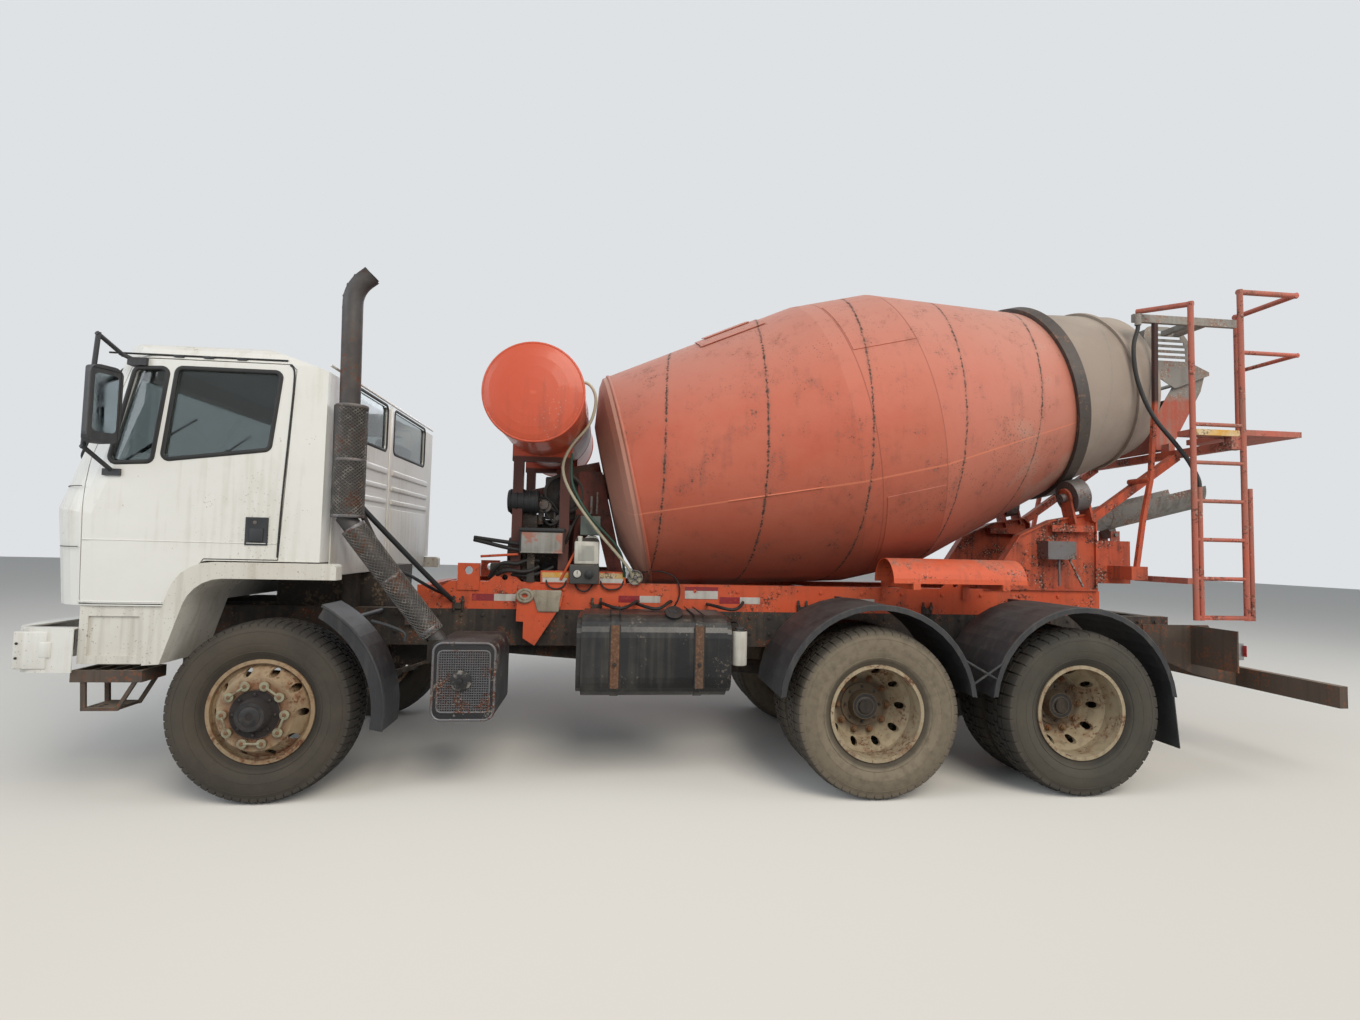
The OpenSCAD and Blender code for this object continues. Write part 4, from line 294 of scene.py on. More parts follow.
# a duller orange with grease streaks and a black top
pedestal_orange = weathered("grimy_orange_enamel", "#b84a28", [
    (*faded, 0.55, "#a65a42"), ("streaks patches", 0.2, 0.38, 0.7, "#4f2f26"),
    ("chips patches", 0.30, 0.35, 0.9, "#33241e"), (*spattered, 0.7, cement),
    ("z", 2.66, 2.70, 0.92, "#2b2a2a"),
    ("up patches", 0.25, 0.75, 0.6, "#8f8478")], roughness=0.55, relief=0.3)
# orange bleached to pink and brown by the sun
ladder_orange = weathered("sun_bleached_orange_enamel", "#b2533e", [
    ("clouds", 0.3, 0.62, 0.75, "#8f6a5e"), ("streaks", 0.5, 0.7, 0.45, "#6d4a3e"),
    ("chips patches", 0.30, 0.35, 0.8, "#463028"), (*spattered, 0.7, cement)], roughness=0.6, relief=0.35)
# the freshest coat: smooth, with a dark belly
tank_orange = weathered("fresh_orange_tank_enamel", "#c04a2a", [
    ("clouds", 0.35, 0.72, 0.5, "#b9573d"), ("streaks clouds", 0.27, 0.42, 0.5, "#8c4334"),
    ("specks clouds", 0.48, 0.52, 0.35, cement), ("up patches", 0.3, 0.75, 0.35, "#c9897a"),
    ("z", 2.146, 2.136, 0.88, "#33221d")], roughness=0.35, relief=0.05, coat=0.15)
# red under soot, nearly brown
soot_red = weathered("soot_darkened_red_enamel", "#6b2c20", [
    (*faded, 0.7, "#45231c"), (*streaked, 0.7, "#271a17"), (*chipped, 0.8, "#2a1d19"),
    ("up patches", 0.2, 0.7, 0.6, "#7d6a5e")], roughness=0.6, relief=0.4)
print("enamels mixed:", cab_enamel.name, mixer_orange.name, tank_orange.name)

# %% [markdown]
# ## Black paint, cast iron, rubber and plastic
# Chassis rails, springs, axles and tanks are black or brown-black under dust. Rubber and polypropylene have
# no metal shine and a high roughness; bare steel is a metal with brown oxide on it.

# %% Mix the dark finishes
# black gone brown under road dust
chassis_black = weathered("dusty_black_chassis_paint", "#232120", [
    ("clouds", 0.3, 0.7, 0.7, "#3d3630"), (*streaked, 0.6, "#5d5044"), (*chipped, 0.8, rust),
    ("up patches", 0.2, 0.6, 0.8, "#74695a"),
    ("specks patches", 0.44, 0.52, 0.5, "#8d8375")], roughness=0.65, relief=0.4)
# a half-gloss black with large dents in its shine
tank_black = weathered("scuffed_black_tank_paint", "#141517", [
    (*shaded, 0.5, "#2b2c2e"), ("streaks clouds", 0.26, 0.42, 0.5, "#4c4841"),
    ("chips patches", 0.36, 0.40, 0.7, "#6a6056"),
    (*dusted, 0.45, "#5a554d")], roughness=0.24, relief=1.0, bump_scale=6.0)
# bare channel between brown and grey
underrun_paint = weathered("rusty_grey_brown_channel_paint", "#4a4038", [
    (*blotched, 0.7, "#5f5145"), ("chips patches", 0.28, 0.34, 0.9, "#7a4c33"),
    ("streaks", 0.5, 0.72, 0.4, "#2c2521"), (*dusted, 0.7, "#8d8170")], roughness=0.7, relief=0.4)
# iron wet with old oil in patches
engine_iron = weathered("oily_cast_iron", "#2a2725", [
    ("patches", 0.35, 0.65, 0.7, "#45392f"), ("mottle", 0.5, 0.7, 0.6, "#1a1817"), (*chipped, 0.8, "#7b6a58"),
    ("up patches", 0.25, 0.65, 0.7, "#6f6557")], roughness=0.55, relief=0.6)
# grey-black plastic, streaked by rain
guard_plastic = weathered("black_polypropylene_mudguard", "#26272a", [
    (*faded, 0.7, "#3f4042"), (*rained_on, 0.4, "#57534d"), ("mottle", 0.52, 0.75, 0.35, "#191a1b"),
    (*dusted, 0.45, "#66625b")], roughness=0.5, relief=0.25)
# matt black that swallows the light
rubber_black = weathered("black_rubber", "#1a1a1a", [
    (*shaded, 0.4, "#2d2c2a"), ("patches", 0.5, 0.75, 0.35, "#45413b")], roughness=0.6, relief=0.15)
# dull metal with rust in its scratches
steel_grey = weathered("worn_grey_steel", "#77777a", [
    (*blotched, 0.7, "#6a5f55"), ("chips patches", 0.28, 0.34, 0.9, rust),
    ("specks patches", 0.40, 0.48, 0.7, cement)], roughness=0.45, metallic=0.75, relief=0.3)
# steel hidden under years of splashed concrete
cement_coats = [("clouds", 0.35, 0.65, 0.7, "#95918a"), ("streaks", 0.46, 0.7, 0.6, "#5c5852"),
    ("chips patches", 0.27, 0.33, 0.8, "#8b5a45"), ("specks patches", 0.38, 0.46, 0.7, "#b3ada3")]
hopper_steel = weathered("cement_coated_chute_plate", "#7c7b78", cement_coats, roughness=0.8, relief=0.8)
hopper_painted = weathered("half_painted_hopper_plate", "#7c7b78", cement_coats + [("z", 2.83, 2.77, 0.85,
    "#b3543f"), ("streaks patches", 0.2, 0.36, 0.7, "#8e857b")], roughness=0.75, relief=0.6)
# pipe browned by heat and black at its mouth
exhaust_metal = weathered("heat_browned_exhaust_steel", "#4f4e4e", [
    (*blotched, 0.6, "#453f3c"), ("patches", 0.45, 0.7, 0.5, "#6b645d"), (*chipped, 0.8, rust),
    ("z", 3.07, 3.14, 0.7, "#1e1c1b")], roughness=0.5, metallic=0.6, relief=0.3)
# heat paint with pale chips
silencer_paint = weathered("black_heat_paint", "#1b1b1d", [
    (*faded, 0.6, "#343335"), ("chips patches", 0.33, 0.38, 0.8, "#8c857c"),
    (*dusted, 0.6, "#5c554d")], roughness=0.5, relief=0.4)
print("dark finishes mixed:", chassis_black.name, guard_plastic.name, exhaust_metal.name)

# %% [markdown]
# ## Wheels
# Dust settles on a tyre in rings, because the wall is scrubbed at the shoulder and cleaned where it flexes.
# So each tyre reads its distance from its own axle. The front rims have lost most of their paint to rust.

# %% Mix tyre rubber and rim paint for each axle
wheel_radius = 0.522
both = (-1, 1)
hands = tuple(zip(both, ("left", "right")))


def at_axle(word, axle, hand):
    """The name of a wheel's node or body: single wheels in front, twins behind."""
    return f"{word}_front_{hand}" if axle == "front" else f"{word}s_{axle}_{hand}"


axle_places = {}
for axle in ("front", "rear1", "rear2"):
    rim_low, rim_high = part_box(at_axle("rim", axle, "left"))
    axle_places[axle] = (rim_low.x + rim_high.x) / 2
# For each axle: the wall's rubber, the dust on it and how much, then the rim's paint, its rust and the hub's
# grime.
wheel_colours = {
    "front": ("#2b2825", "#4d463c", 0.55, "#93795a", 0.8, 0.6, "#7a4a30", 0.95),
    "rear1": ("#5a5348", "#857a68", 0.85, "#9c8f76", 0.55, 0.75, "#3c2f27", 0.0),
    "rear2": ("#2a2927", "#4b4a42", 0.6, "#9c8f76", 0.55, 0.75, "#3c2f27", 0.0)}
tyre_rubber, rim_paint = {}, {}
for axle, x in axle_places.items():
    hub = (x, 0.0, wheel_radius)
    plain, dusty, share, paint, rusted, grimed, grime, blackened = wheel_colours[axle]
    tyre_rubber[axle] = weathered("tyre_rubber_" + axle, plain, [
        ("spokes", 0.505, 0.47, share, dusty), ("mottle", 0.45, 0.7, 0.4, "#3a352e"),
        ("spokes", 0.34, 0.325, 0.7, "#24211e"), ("spokes", 0.40, 0.405, 0.15, "#1f1d1b"),
        ("clouds", 0.4, 0.65, 0.3, "#6b6152"), ("spokes", 0.500, 0.515, 0.55, "#262422")],
        roughness=0.75, relief=0.35, centre=hub)
    rim_paint[axle] = weathered("rim_enamel_" + axle, paint, [
        ("clouds", 0.35, 0.65, 0.5, "#ab9d83"), ("patches mottle", 0.24, 0.36, rusted, "#7a5238"),
        ("spokes", 0.205, 0.16, grimed, grime), ("chips patches", 0.30, 0.36, 0.8, "#5a3420"),
        ("streaks", 0.5, 0.75, 0.4, "#54483a"), ("spokes", 0.142, 0.134, blackened, "#232325")],
        roughness=0.62, relief=0.5, centre=hub)
print("wheel finishes for", len(axle_places), "axles at x =", [round(x, 3) for x in axle_places.values()])

# %% [markdown]
# ## Glass, lamps and the cab's inside
# Window glass is a dielectric that lets light through, with a faint green tint and dust. A lamp's lens is
# clear or coloured acrylic. Behind the glass are moulded grey plastic and dark woven seat fabric.

# %% Mix glass, lenses and the plastics inside
# panes that darken what is behind them, and lenses that hardly do
window_glass = filmed("tinted_safety_glass", "#a3abab", 0.02, 0.14, 5.0, 0.45,
    {"IOR": 1.45, "Transmission Weight": 1.0})
lens_clear = filmed("clear_acrylic_lens", "#e9ecec", 0.05, 0.17, 5.0, 0.45,
    {"IOR": 1.49, "Transmission Weight": 1.0})
# deep colours under a wet-looking coat
lens_red = weathered("red_acrylic_lens", "#8e1512", [
    ("mottle", 0.5, 0.8, 0.3, "#5c1210"), (*lit_tops, 0.4, "#8a5a50")], roughness=0.15, relief=0.05, coat=0.6)
lens_amber = weathered("amber_acrylic_lens", "#c8641a", [
    ("mottle", 0.5, 0.8, 0.3, "#8f4a18"), (*lit_tops, 0.4, "#a07a58")], roughness=0.15, relief=0.05, coat=0.6)
# dull grey with a fine grain, and a smoother black
cabin_plastic = weathered("grey_moulded_cabin_plastic", "#4d4e4f", [
    (*shaded, 0.4, "#5f5e5b"), (*lit_tops, 0.5, "#8a8272")], roughness=0.6, relief=0.3, bump_scale=300.0)
black_plastic = weathered("black_moulded_plastic", "#1f2123", [
    (*shaded, 0.5, "#303335"), (*lit_tops, 0.5, "#5a5751")], roughness=0.45, relief=0.12)
print("clear and moulded finishes mixed")

# %% [markdown]
# ## The drum's faded coat
# The drum was once as red as the tank. Its two mixing blades are welded inside along a double helix, and
# where they are welded, heat and cement have marked the outside in dotted dark lines. The pattern reads the
# place along the drum's own tilted axis and the angle round it, so the dots stay on the shell when the drum
# turns.

# %% Mix the drum's paint and the ring's steel, and give every node its finish
# pink-brown and faded, with a painted highlight where the shell faces up, painted shade where it faces down,
# and dotted helix lines
drum_paint = weathered("faded_red_drum_enamel", "#b4573f", [
    (*faded, 0.7, "#b96e58"), ("patches", 0.45, 0.75, 0.35, "#a04b36"), ("along", 1.6, 3.3, 0.45, "#b18474"),
    # the two "up" coats are painted light and shade: lighter on faces that look up, darker and redder on
    # faces that look down
    ("up", 0.2, 0.95, 0.75, "#bd9184"), ("up", -0.2, -0.9, 0.55, "#8f4533"),
    ("streaks patches", 0.28, 0.42, 0.3, "#7c4a3d"), ("specks clouds", 0.47, 0.51, 0.75, "#5b3a30"),
    ("specks patches", 0.50, 0.54, 0.5, "#b7a296"), ("specks patches", 0.455, 0.475, 0.5, "#6a4337"),
    ("chips patches", 0.37, 0.41, 0.8, "#543a30"), ("seam", 0.2, 0.8, 0.7, "#d07a5c"),
    ("lap", 0.2, 0.8, 0.6, "#7e4334"), ("helix", 0.3, 0.95, 0.16, "#7b5546"),
    ("helix mottle", 0.41, 0.54, 0.75, "#523e36"), ("helix chips", 0.44, 0.53, 0.9, "#2f241d"),
    ("along", 0.05, 0.02, 0.55, "#b09484"), ("along", 3.36, 3.42, 0.9, "#8f887e"),
    ("along clouds", 1.70, 2.3, 0.5, "#a79c8f")], roughness=0.5, relief=0.22)
# a rolled track, dark and half polished
ring_steel = weathered("dark_rolled_steel_track", "#4b4644", [
    (*blotched, 0.6, "#625850"), ("mottle", 0.5, 0.75, 0.4, "#373230"),
    (*chipped, 0.8, "#8a6a58")], roughness=0.5, metallic=0.5, relief=0.25)
finish_of = {
    cab_enamel: "cab_shell cab_roof cab_front door_left door_right bumper",
    arch_enamel: "cab_arches",
    mixer_orange: "subframe spare_chute",
    soot_red: "front_pedestal",
    pedestal_orange: "rear_pedestal",
    ladder_orange: "ladder chute_post",
    tank_orange: "water_tank",
    chassis_black: "chassis_frame front_axle rear_axles leaf_springs knuckle_left knuckle_right track_rod",
    engine_iron: "engine mixer_engine",
    guard_plastic: "mudguards mirror_left mirror_right",
    tank_black: "fuel_tank",
    silencer_paint: "silencer",
    exhaust_metal: "exhaust_stack",
    underrun_paint: "underrun_bar cab_steps",
    hopper_steel: "chute",
    hopper_painted: "hopper",
    steel_grey: "roller_left roller_right chute_valve",
    ring_steel: "drum_ring",
    drum_paint: "drum",
    rubber_black: "rear_hose",
    lens_red: "lamps",
    cabin_plastic: "cab_interior",
    window_glass: "cab_glass door_glass_left door_glass_right"}
for axle in axle_places:
    for word, paint in (("rim", rim_paint), ("tyre", tyre_rubber)):
        finish_of[paint[axle]] = " ".join(at_axle(word, axle, hand) for hand in ("left", "right"))
for finish, names in finish_of.items():
    for name in names.split():
        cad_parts[name].data.materials.clear()
        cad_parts[name].data.materials.append(finish)
print("finished", sum(len(names.split()) for names in finish_of.values()), "of", len(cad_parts), "nodes")

# %% [markdown]
# ## Ways of making that come back
# Most things on a truck are blocks with broken edges, turned rods, bent tubes and many copies of one part.
# Each way starts from one of Blender's primitives, shaped with the same operators that a hand would use. The
# last step is the same for all: the object's place goes into its mesh, and it gets its finish and its body.

# %% Blocks, rods, bent tubes, turned shapes and copies
def chosen(piece):
    """That piece alone, selected and active."""
    nothing_selected()
    piece.select_set(True)
    bpy.context.view_layer.objects.active = piece
    return piece


def in_place(piece):
    """The piece with its place, turn and size moved into its mesh."""
    chosen(piece)
    bpy.ops.object.transform_apply(location=True, rotation=True, scale=True)
    return piece


def joined(pieces):
    """Several shapes as one object."""
    nothing_selected()
    for piece in pieces:
        piece.select_set(True)
    bpy.context.view_layer.objects.active = pieces[0]
    if len(pieces) > 1:
        bpy.ops.object.join()
    return pieces[0]


def settled(shapes, name, finish, body="chassis", smooth=40):
    """One finished piece from a shape or a list, smooth but for its edges, riding on its body."""
    piece = in_place(joined(shapes) if isinstance(shapes, list) else shapes)
    bpy.ops.object.shade_smooth_by_angle(angle=math.radians(smooth))
    piece.name = name
    piece.data.materials.clear()
    piece.data.materials.append(finish)
    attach(piece, body)
    return piece


def applied(piece, kind, **settings):
    """The piece after a modifier of that kind."""
    chosen(piece)
    modifier = piece.modifiers.new(kind, kind)
    for name, value in settings.items():
        setattr(modifier, name, value)
    bpy.ops.object.modifier_apply(modifier=kind)
    return piece


def block(low, high, edge=0.004, steps=2, at=(0.0, 0.0, 0.0)):
    """A block between two corners, its edges rounded; the corners may be counted from a point."""
    nothing_selected()
    middle = [(a + b) / 2 + c for a, b, c in zip(low, high, at)]
    bpy.ops.mesh.primitive_cube_add(size=1, location=middle)
    piece = bpy.context.object
    piece.scale = [abs(b - a) for a, b in zip(low, high)]
    bpy.ops.object.transform_apply(location=False, rotation=False, scale=True)
    if edge > 0:
        bpy.ops.object.mode_set(mode="EDIT")
        bpy.ops.mesh.select_all(action="SELECT")
        bpy.ops.mesh.bevel(offset=edge, segments=steps, affect="EDGES")
        bpy.ops.object.mode_set(mode="OBJECT")
    return piece


def edges_chosen(piece, test):
    """Edit mode with only those edges selected that pass the test."""
    bpy.ops.object.mode_set(mode="EDIT")
    bpy.ops.mesh.select_all(action="DESELECT")
    bpy.ops.object.mode_set(mode="OBJECT")
    for edge in piece.data.edges:
        edge.select = test(edge)
    bpy.ops.object.mode_set(mode="EDIT")
    bpy.ops.mesh.select_mode(type="EDGE")


def cylinder(start, end, radius, sides, ends="NGON"):
    """A plain cylinder from one point to another."""
    nothing_selected()
    start, end = Vector(start), Vector(end)
    way = end - start
    bpy.ops.mesh.primitive_cylinder_add(vertices=sides, radius=radius, depth=way.length, end_fill_type=ends,
        location=(start + end) / 2, rotation=way.to_track_quat("Z", "Y").to_euler())
    return bpy.context.object


def rod(start, end, radius, sides=20, edge=0.0):
    """A round bar from one point to another, its rims broken by a bevel; six sides make a nut."""
    piece = cylinder(start, end, radius, sides)
    if edge > 0:
        rims = {key for face in piece.data.polygons if len(face.vertices) == sides for key in face.edge_keys}
        edges_chosen(piece, lambda line: line.key in rims)
        bpy.ops.mesh.bevel(offset=edge, segments=2, affect="EDGES")
        bpy.ops.object.mode_set(mode="OBJECT")
    return piece


def pin(x, z, y0, y1, radius, sides=20, edge=0.0):
    """A rod across the truck."""
    return rod((x, y0, z), (x, y1, z), radius, sides, edge)


def post(x, y, z0, z1, radius, sides=20, edge=0.0):
    """A rod that stands."""
    return rod((x, y, z0), (x, y, z1), radius, sides, edge)


def ring(place, radius, thickness, sides, section=8, turn=(math.radians(90), 0, 0)):
    """A torus, upright along the truck unless it is turned."""
    nothing_selected()
    bpy.ops.mesh.primitive_torus_add(major_radius=radius, minor_radius=thickness, major_segments=sides,
        minor_segments=section, location=place, rotation=turn)
    return bpy.context.object


def path_curve(points, radius, resolution, finer, smooth_path=True, closed=False):
    """A curve through points with a round bevel, linked to the scene."""
    line = bpy.data.curves.new("path", "CURVE")
    line.dimensions = "3D"
    line.bevel_depth = radius
    line.bevel_resolution = resolution
    line.resolution_u = finer
    line.use_fill_caps = True
    spline = line.splines.new("NURBS" if smooth_path else "POLY")
    spline.points.add(len(points) - 1)
    for place, point in zip(spline.points, points):
        place.co = (*point, 1.0)
    spline.use_cyclic_u = closed
    if smooth_path:
        spline.order_u = 4
        spline.use_endpoint_u = not closed
    piece = bpy.data.objects.new("path", line)
    bpy.context.scene.collection.objects.link(piece)
    return piece


def bent_tube(points, radius, closed=False, sides=3, smooth_path=True):
    """A tube along a path, drawn as a curve and then turned to a mesh."""
    chosen(path_curve(points, radius, sides, 6, smooth_path, closed))
    bpy.ops.object.convert(target="MESH")
    return bpy.context.object


def spun(outline, centre, steps=72):
    """An open outline of (radius, offset) turned round an axle along y: a point drawn out and spun."""
    nothing_selected()
    bpy.ops.mesh.primitive_plane_add(size=0.01)
    piece = bpy.context.object
    bpy.ops.object.mode_set(mode="EDIT")
    bpy.ops.mesh.select_all(action="SELECT")
    bpy.ops.mesh.merge(type="CENTER")
    bpy.ops.mesh.select_all(action="SELECT")
    bpy.ops.transform.translate(value=(*outline[0], 0.0))
    for (r0, y0), (r1, y1) in zip(outline, outline[1:]):
        bpy.ops.mesh.extrude_vertices_move(TRANSFORM_OT_translate={"value": (r1 - r0, y1 - y0, 0.0)})
    bpy.ops.mesh.select_all(action="SELECT")
    bpy.ops.mesh.spin(steps=steps, angle=math.tau, center=(0.0, 0.0, 0.0), axis=(0.0, 1.0, 0.0))
    bpy.ops.mesh.select_all(action="SELECT")
    bpy.ops.mesh.remove_doubles(threshold=0.00005)
    bpy.ops.mesh.normals_make_consistent(inside=False)
    bpy.ops.object.mode_set(mode="OBJECT")
    piece.location = centre
    return piece


def draped(columns, rows, place_of, thickness):
    """A plate whose grid points are put one by one where place_of(across, up), each from 0 to 1, says."""
    nothing_selected()
    bpy.ops.mesh.primitive_grid_add(x_subdivisions=columns, y_subdivisions=rows, size=2)
    piece = bpy.context.object
    for vertex in piece.data.vertices:
        vertex.co = place_of((vertex.co.x + 1) / 2, (vertex.co.y + 1) / 2)
    return applied(piece, "SOLIDIFY", thickness=thickness, offset=0)


def twin_of(piece, place):
    """A copy with its own mesh, moved or mirrored by a matrix."""
    twin = piece.copy()
    twin.data = piece.data.copy()
    twin.data.transform(place)
    if place.determinant() < 0:
        twin.data.flip_normals()
    bpy.context.scene.collection.objects.link(twin)
    return twin


def copied(piece, places):
    """Copies of a shape by the given matrices, joined; the pattern itself is removed."""
    in_place(piece)
    twins = [twin_of(piece, place) for place in places]
    bpy.data.objects.remove(piece)
    return joined(twins)


def moved(x=0.0, y=0.0, z=0.0):
    """A shift as a matrix."""
    return Matrix.Translation((x, y, z))


def turns(count, start=0.0):
    """Equal steps round a circle."""
    return [start + math.tau * i / count for i in range(count)]


def round_axle(count, x, z, start=0.0):
    """Turns by equal steps about a line along y through (x, z)."""
    return [moved(x, 0, z) @ Matrix.Rotation(a, 4, "Y") @ moved(-x, 0, -z) for a in turns(count, start)]


def circle(middle, radius, count, squash=1.0):
    """Points round a circle along the truck, flattened if asked."""
    return [middle + Vector((radius * math.cos(a), 0.0, squash * radius * math.sin(a))) for a in turns(count)]


across = Matrix.Scale(-1, 4, (0, 1, 0))
print("ways of making are ready")

# %% [markdown]
# ## Tyres with tread
# A truck tyre has a soft round wall, a bead that sits against the rim's flange, and a crown cut into lugs.
# The carcass is an outline spun round the axle. One bar of lugs is modelled across it and copied by turns
# about the axle. Shoulder lugs wrap the edge, since they give the grip.

# %% Model one tyre of each pattern and copy it to its places
wall_outline = [(0.2868, 0.104), (0.302, 0.1045), (0.316, 0.112), (0.330, 0.122), (0.355, 0.136),
    (0.385, 0.146), (0.415, 0.149), (0.445, 0.1475), (0.470, 0.143), (0.488, 0.136), (0.500, 0.130),
    (0.506, 0.118), (0.5085, 0.100), (0.510, 0.05), (0.5105, 0.0)]
carcass_outline = wall_outline + [(r, -y) for r, y in wall_outline[-2::-1]]
wall_rings = ((0.345, 0.1325, 0.0020), (0.398, 0.1475, 0.0016), (0.462, 0.1445, 0.0022))
# For each axle: how many bars of lugs go round, and half a lug's length.
tread_bars = {"front": (66, 0.021), "rear1": (58, 0.025), "rear2": (44, 0.032)}


def tread_bar(half_length):
    """One bar of lugs across the tyre: two shoulder lugs that wrap the edge and three crown lugs."""
    lugs = []
    for side in both:
        lug = block((-half_length, side * 0.070, 0.500), (half_length, side * 0.139, 0.519), 0.003, 1)
        for vertex in lug.data.vertices:
            if abs(vertex.co.y + lug.location.y) > 0.125:
                vertex.co.z -= 0.014 if vertex.co.z + lug.location.z > 0.51 else 0.022
        lugs.append(lug)
    for y, shift in ((-0.044, 0.0), (0.0, half_length), (0.044, 0.0)):
        lugs.append(block((-half_length + shift, y - 0.018, 0.503), (half_length + shift, y + 0.018, 0.5205),
            0.0025, 1))
    return joined(lugs)


def tyre(axle):
    """One tyre round the line of its axle, its middle at y = 0."""
    x = axle_places[axle]
    hub = Vector((x, 0.0, wheel_radius))
    carcass = spun(carcass_outline, hub, 96)
    count, half_length = tread_bars[axle]
    bar = tread_bar(half_length)
    bar.location += hub
    bars = copied(bar, round_axle(count, x, wheel_radius))
    rings = [spun([(r, y + 0.0002), (r - t, y - 0.001), (r - t, y + t * 0.6), (r, y + t),
        (r + t, y + t * 0.6), (r + t, y - 0.001)], hub, 96) for r, y, t in wall_rings]
    return joined([carcass, bars, copied(joined(rings), [Matrix(), across])])


tyre_rows = {"front": (0.980,), "rear1": (0.752, 1.088), "rear2": (0.752, 1.088)}
for axle, rows in tyre_rows.items():
    pair = copied(tyre(axle), [moved(y=y) for y in rows])
    for side, hand in hands:
        node = at_axle("tyre", axle, hand)
        own = settled(twin_of(pair, across if side < 0 else Matrix()), "treaded_" + node, tyre_rubber[axle],
            at_axle("wheel", axle, hand), 35)
        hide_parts(node)
        print(own.name, "has", len(own.data.polygons), "faces")
    bpy.data.objects.remove(pair)

# %% [markdown]
# ## Wheel nuts, retainers and hub caps
# Ten nuts hold each wheel. On the front wheels they are locked in pairs by small bent strips, so that a loose
# nut shows. A nut is a six-sided cylinder with broken rims, on a round washer, with its stud's end in the
# middle.

# %% Model one nut and set ten of them on every wheel
nut_circle = 0.1675
nut_step = math.radians(18)
faces_out = {"front": 1.148, "rear1": 0.932, "rear2": 0.932}
# brown zinc with pale wear, an old green-grey strip, and black grease
nut_rust = weathered("rusty_zinc_wheel_nut", "#6f5a45", [
    ("mottle", 0.4, 0.65, 0.8, "#8a5a38"),
    ("patches", 0.5, 0.7, 0.6, "#a39174")], roughness=0.6, metallic=0.4, relief=0.5)
retainer_paint = weathered("faded_green_grey_retainer", "#8b8a72", [
    ("mottle", 0.45, 0.65, 0.8, "#6d4c35"),
    ("patches", 0.45, 0.7, 0.6, "#a39b86")], roughness=0.65, relief=0.4)
hub_black = weathered("greasy_black_hub_cap", "#232325", [
    ("mottle", 0.45, 0.7, 0.6, "#3f3a34"),
    ("patches", 0.5, 0.75, 0.5, "#5b4b3c")], roughness=0.45, relief=0.4)
for axle, x in axle_places.items():
    face = faces_out[axle]
    seat = wheel_radius + nut_circle
    nut = [pin(x, seat, -face, -face - length, radius, sides, edge) for length, radius, sides,
        edge in ((0.024, 0.0185, 6, 0.002), (0.006, 0.024, 20, 0.0015), (0.034, 0.011, 12, 0.002))]
    shapes = [(copied(joined(nut), round_axle(10, x, wheel_radius, nut_step)), "wheel_nuts_", nut_rust)]
    cap_bolts = copied(pin(x, wheel_radius + 0.114, -face - 0.010, -face - 0.020, 0.0085, 6, 0.001),
        round_axle(8, x, wheel_radius))
    cap_ring = spun([(r, face + out) for r, out in ((0.020, 0.0705), (0.052, 0.0705), (0.058, 0.067),
        (0.060, 0.0695), (0.078, 0.0695), (0.0835, 0.062))], (x, 0.0, wheel_radius), 48)
    cap_ring.data.transform(across)
    cap_ring.data.flip_normals()
    shapes.append((joined([cap_bolts, cap_ring]), "hub_trim_", hub_black))
    if axle == "front":
        plates = []
        for a in turns(5, 2 * nut_step):
            ends = [(x + nut_circle * math.sin(b), wheel_radius + nut_circle * math.cos(b))
                for b in (a - nut_step, a + nut_step)]
            plates += [pin(*end, -face - 0.0245, -face - 0.030, 0.027, 24, 0.0015) for end in ends]
            plates.append(rod(*[(px, -face - 0.027, pz) for px, pz in ends], 0.007, 10, 0.001))
        shapes.append((joined(plates), "nut_retainers_", retainer_paint))
    for shape, name, finish in shapes:
        in_place(shape)
        for side, hand in hands:
            settled(twin_of(shape, across if side > 0 else Matrix()), name + axle + "_" + hand, finish,
                at_axle("wheel", axle, hand), 35)
        bpy.data.objects.remove(shape)
print("nuts, retainers and hub trim set on six wheels")

# %% [markdown]
# ## Rubber seals round the windows
# A truck's panes are held in black rubber, pushed over the edge of the opening. A flattened tube that follows
# the opening's rounded outline gives it without a cut. For the bowed windscreen, rays find where the outline
# touches.

# %% Draw the seals and lay them on the panels
def rounded_loop(corners, radius, steps=5):
    """The points of a closed outline whose corners are rounded by arcs, in the outline's own two axes."""
    points = []
    for i, corner in enumerate(corners):
        here, before, after = Vector(corner), Vector(corners[i - 1]), Vector(corners[(i + 1) % len(corners)])
        back, on = (before - here).normalized(), (after - here).normalized()
        half = back.angle(on) / 2
        middle = here + (back + on).normalized() * radius / math.sin(half)
        first, last = here + back * radius / math.tan(half), here + on * radius / math.tan(half)
        for step in range(steps + 1):
            points.append(middle + (first - middle).lerp(last - middle, step / steps).normalized() * radius)
    return points


def oblong(low, high):
    """The four corners of an upright oblong, from its low and high corner."""
    return [low, (high[0], low[1]), high, (low[0], high[1])]


def facing(node, start, way):
    """The first point of a CAD node that a ray meets, and the surface's direction there."""
    hit, place, normal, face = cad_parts[node].ray_cast(Vector(start), Vector(way))
    return (place, normal) if hit else (None, None)


def touch(node, start, way):
    """Only the point that a ray meets."""
    return facing(node, start, way)[0]


def seal(name, points, body, width=0.010, depth=0.6, flat_axis=1):
    """A closed rubber bead along points, flattened against the panel along one axis."""
    piece = bent_tube(points, width, closed=True, smooth_path=False)
    middle = sum(p[flat_axis] for p in points) / len(points)
    if depth < 1:
        for vertex in piece.data.vertices:
            vertex.co[flat_axis] = middle + (vertex.co[flat_axis] - middle) * depth
    return settled(piece, name, rubber_black, body, 60)


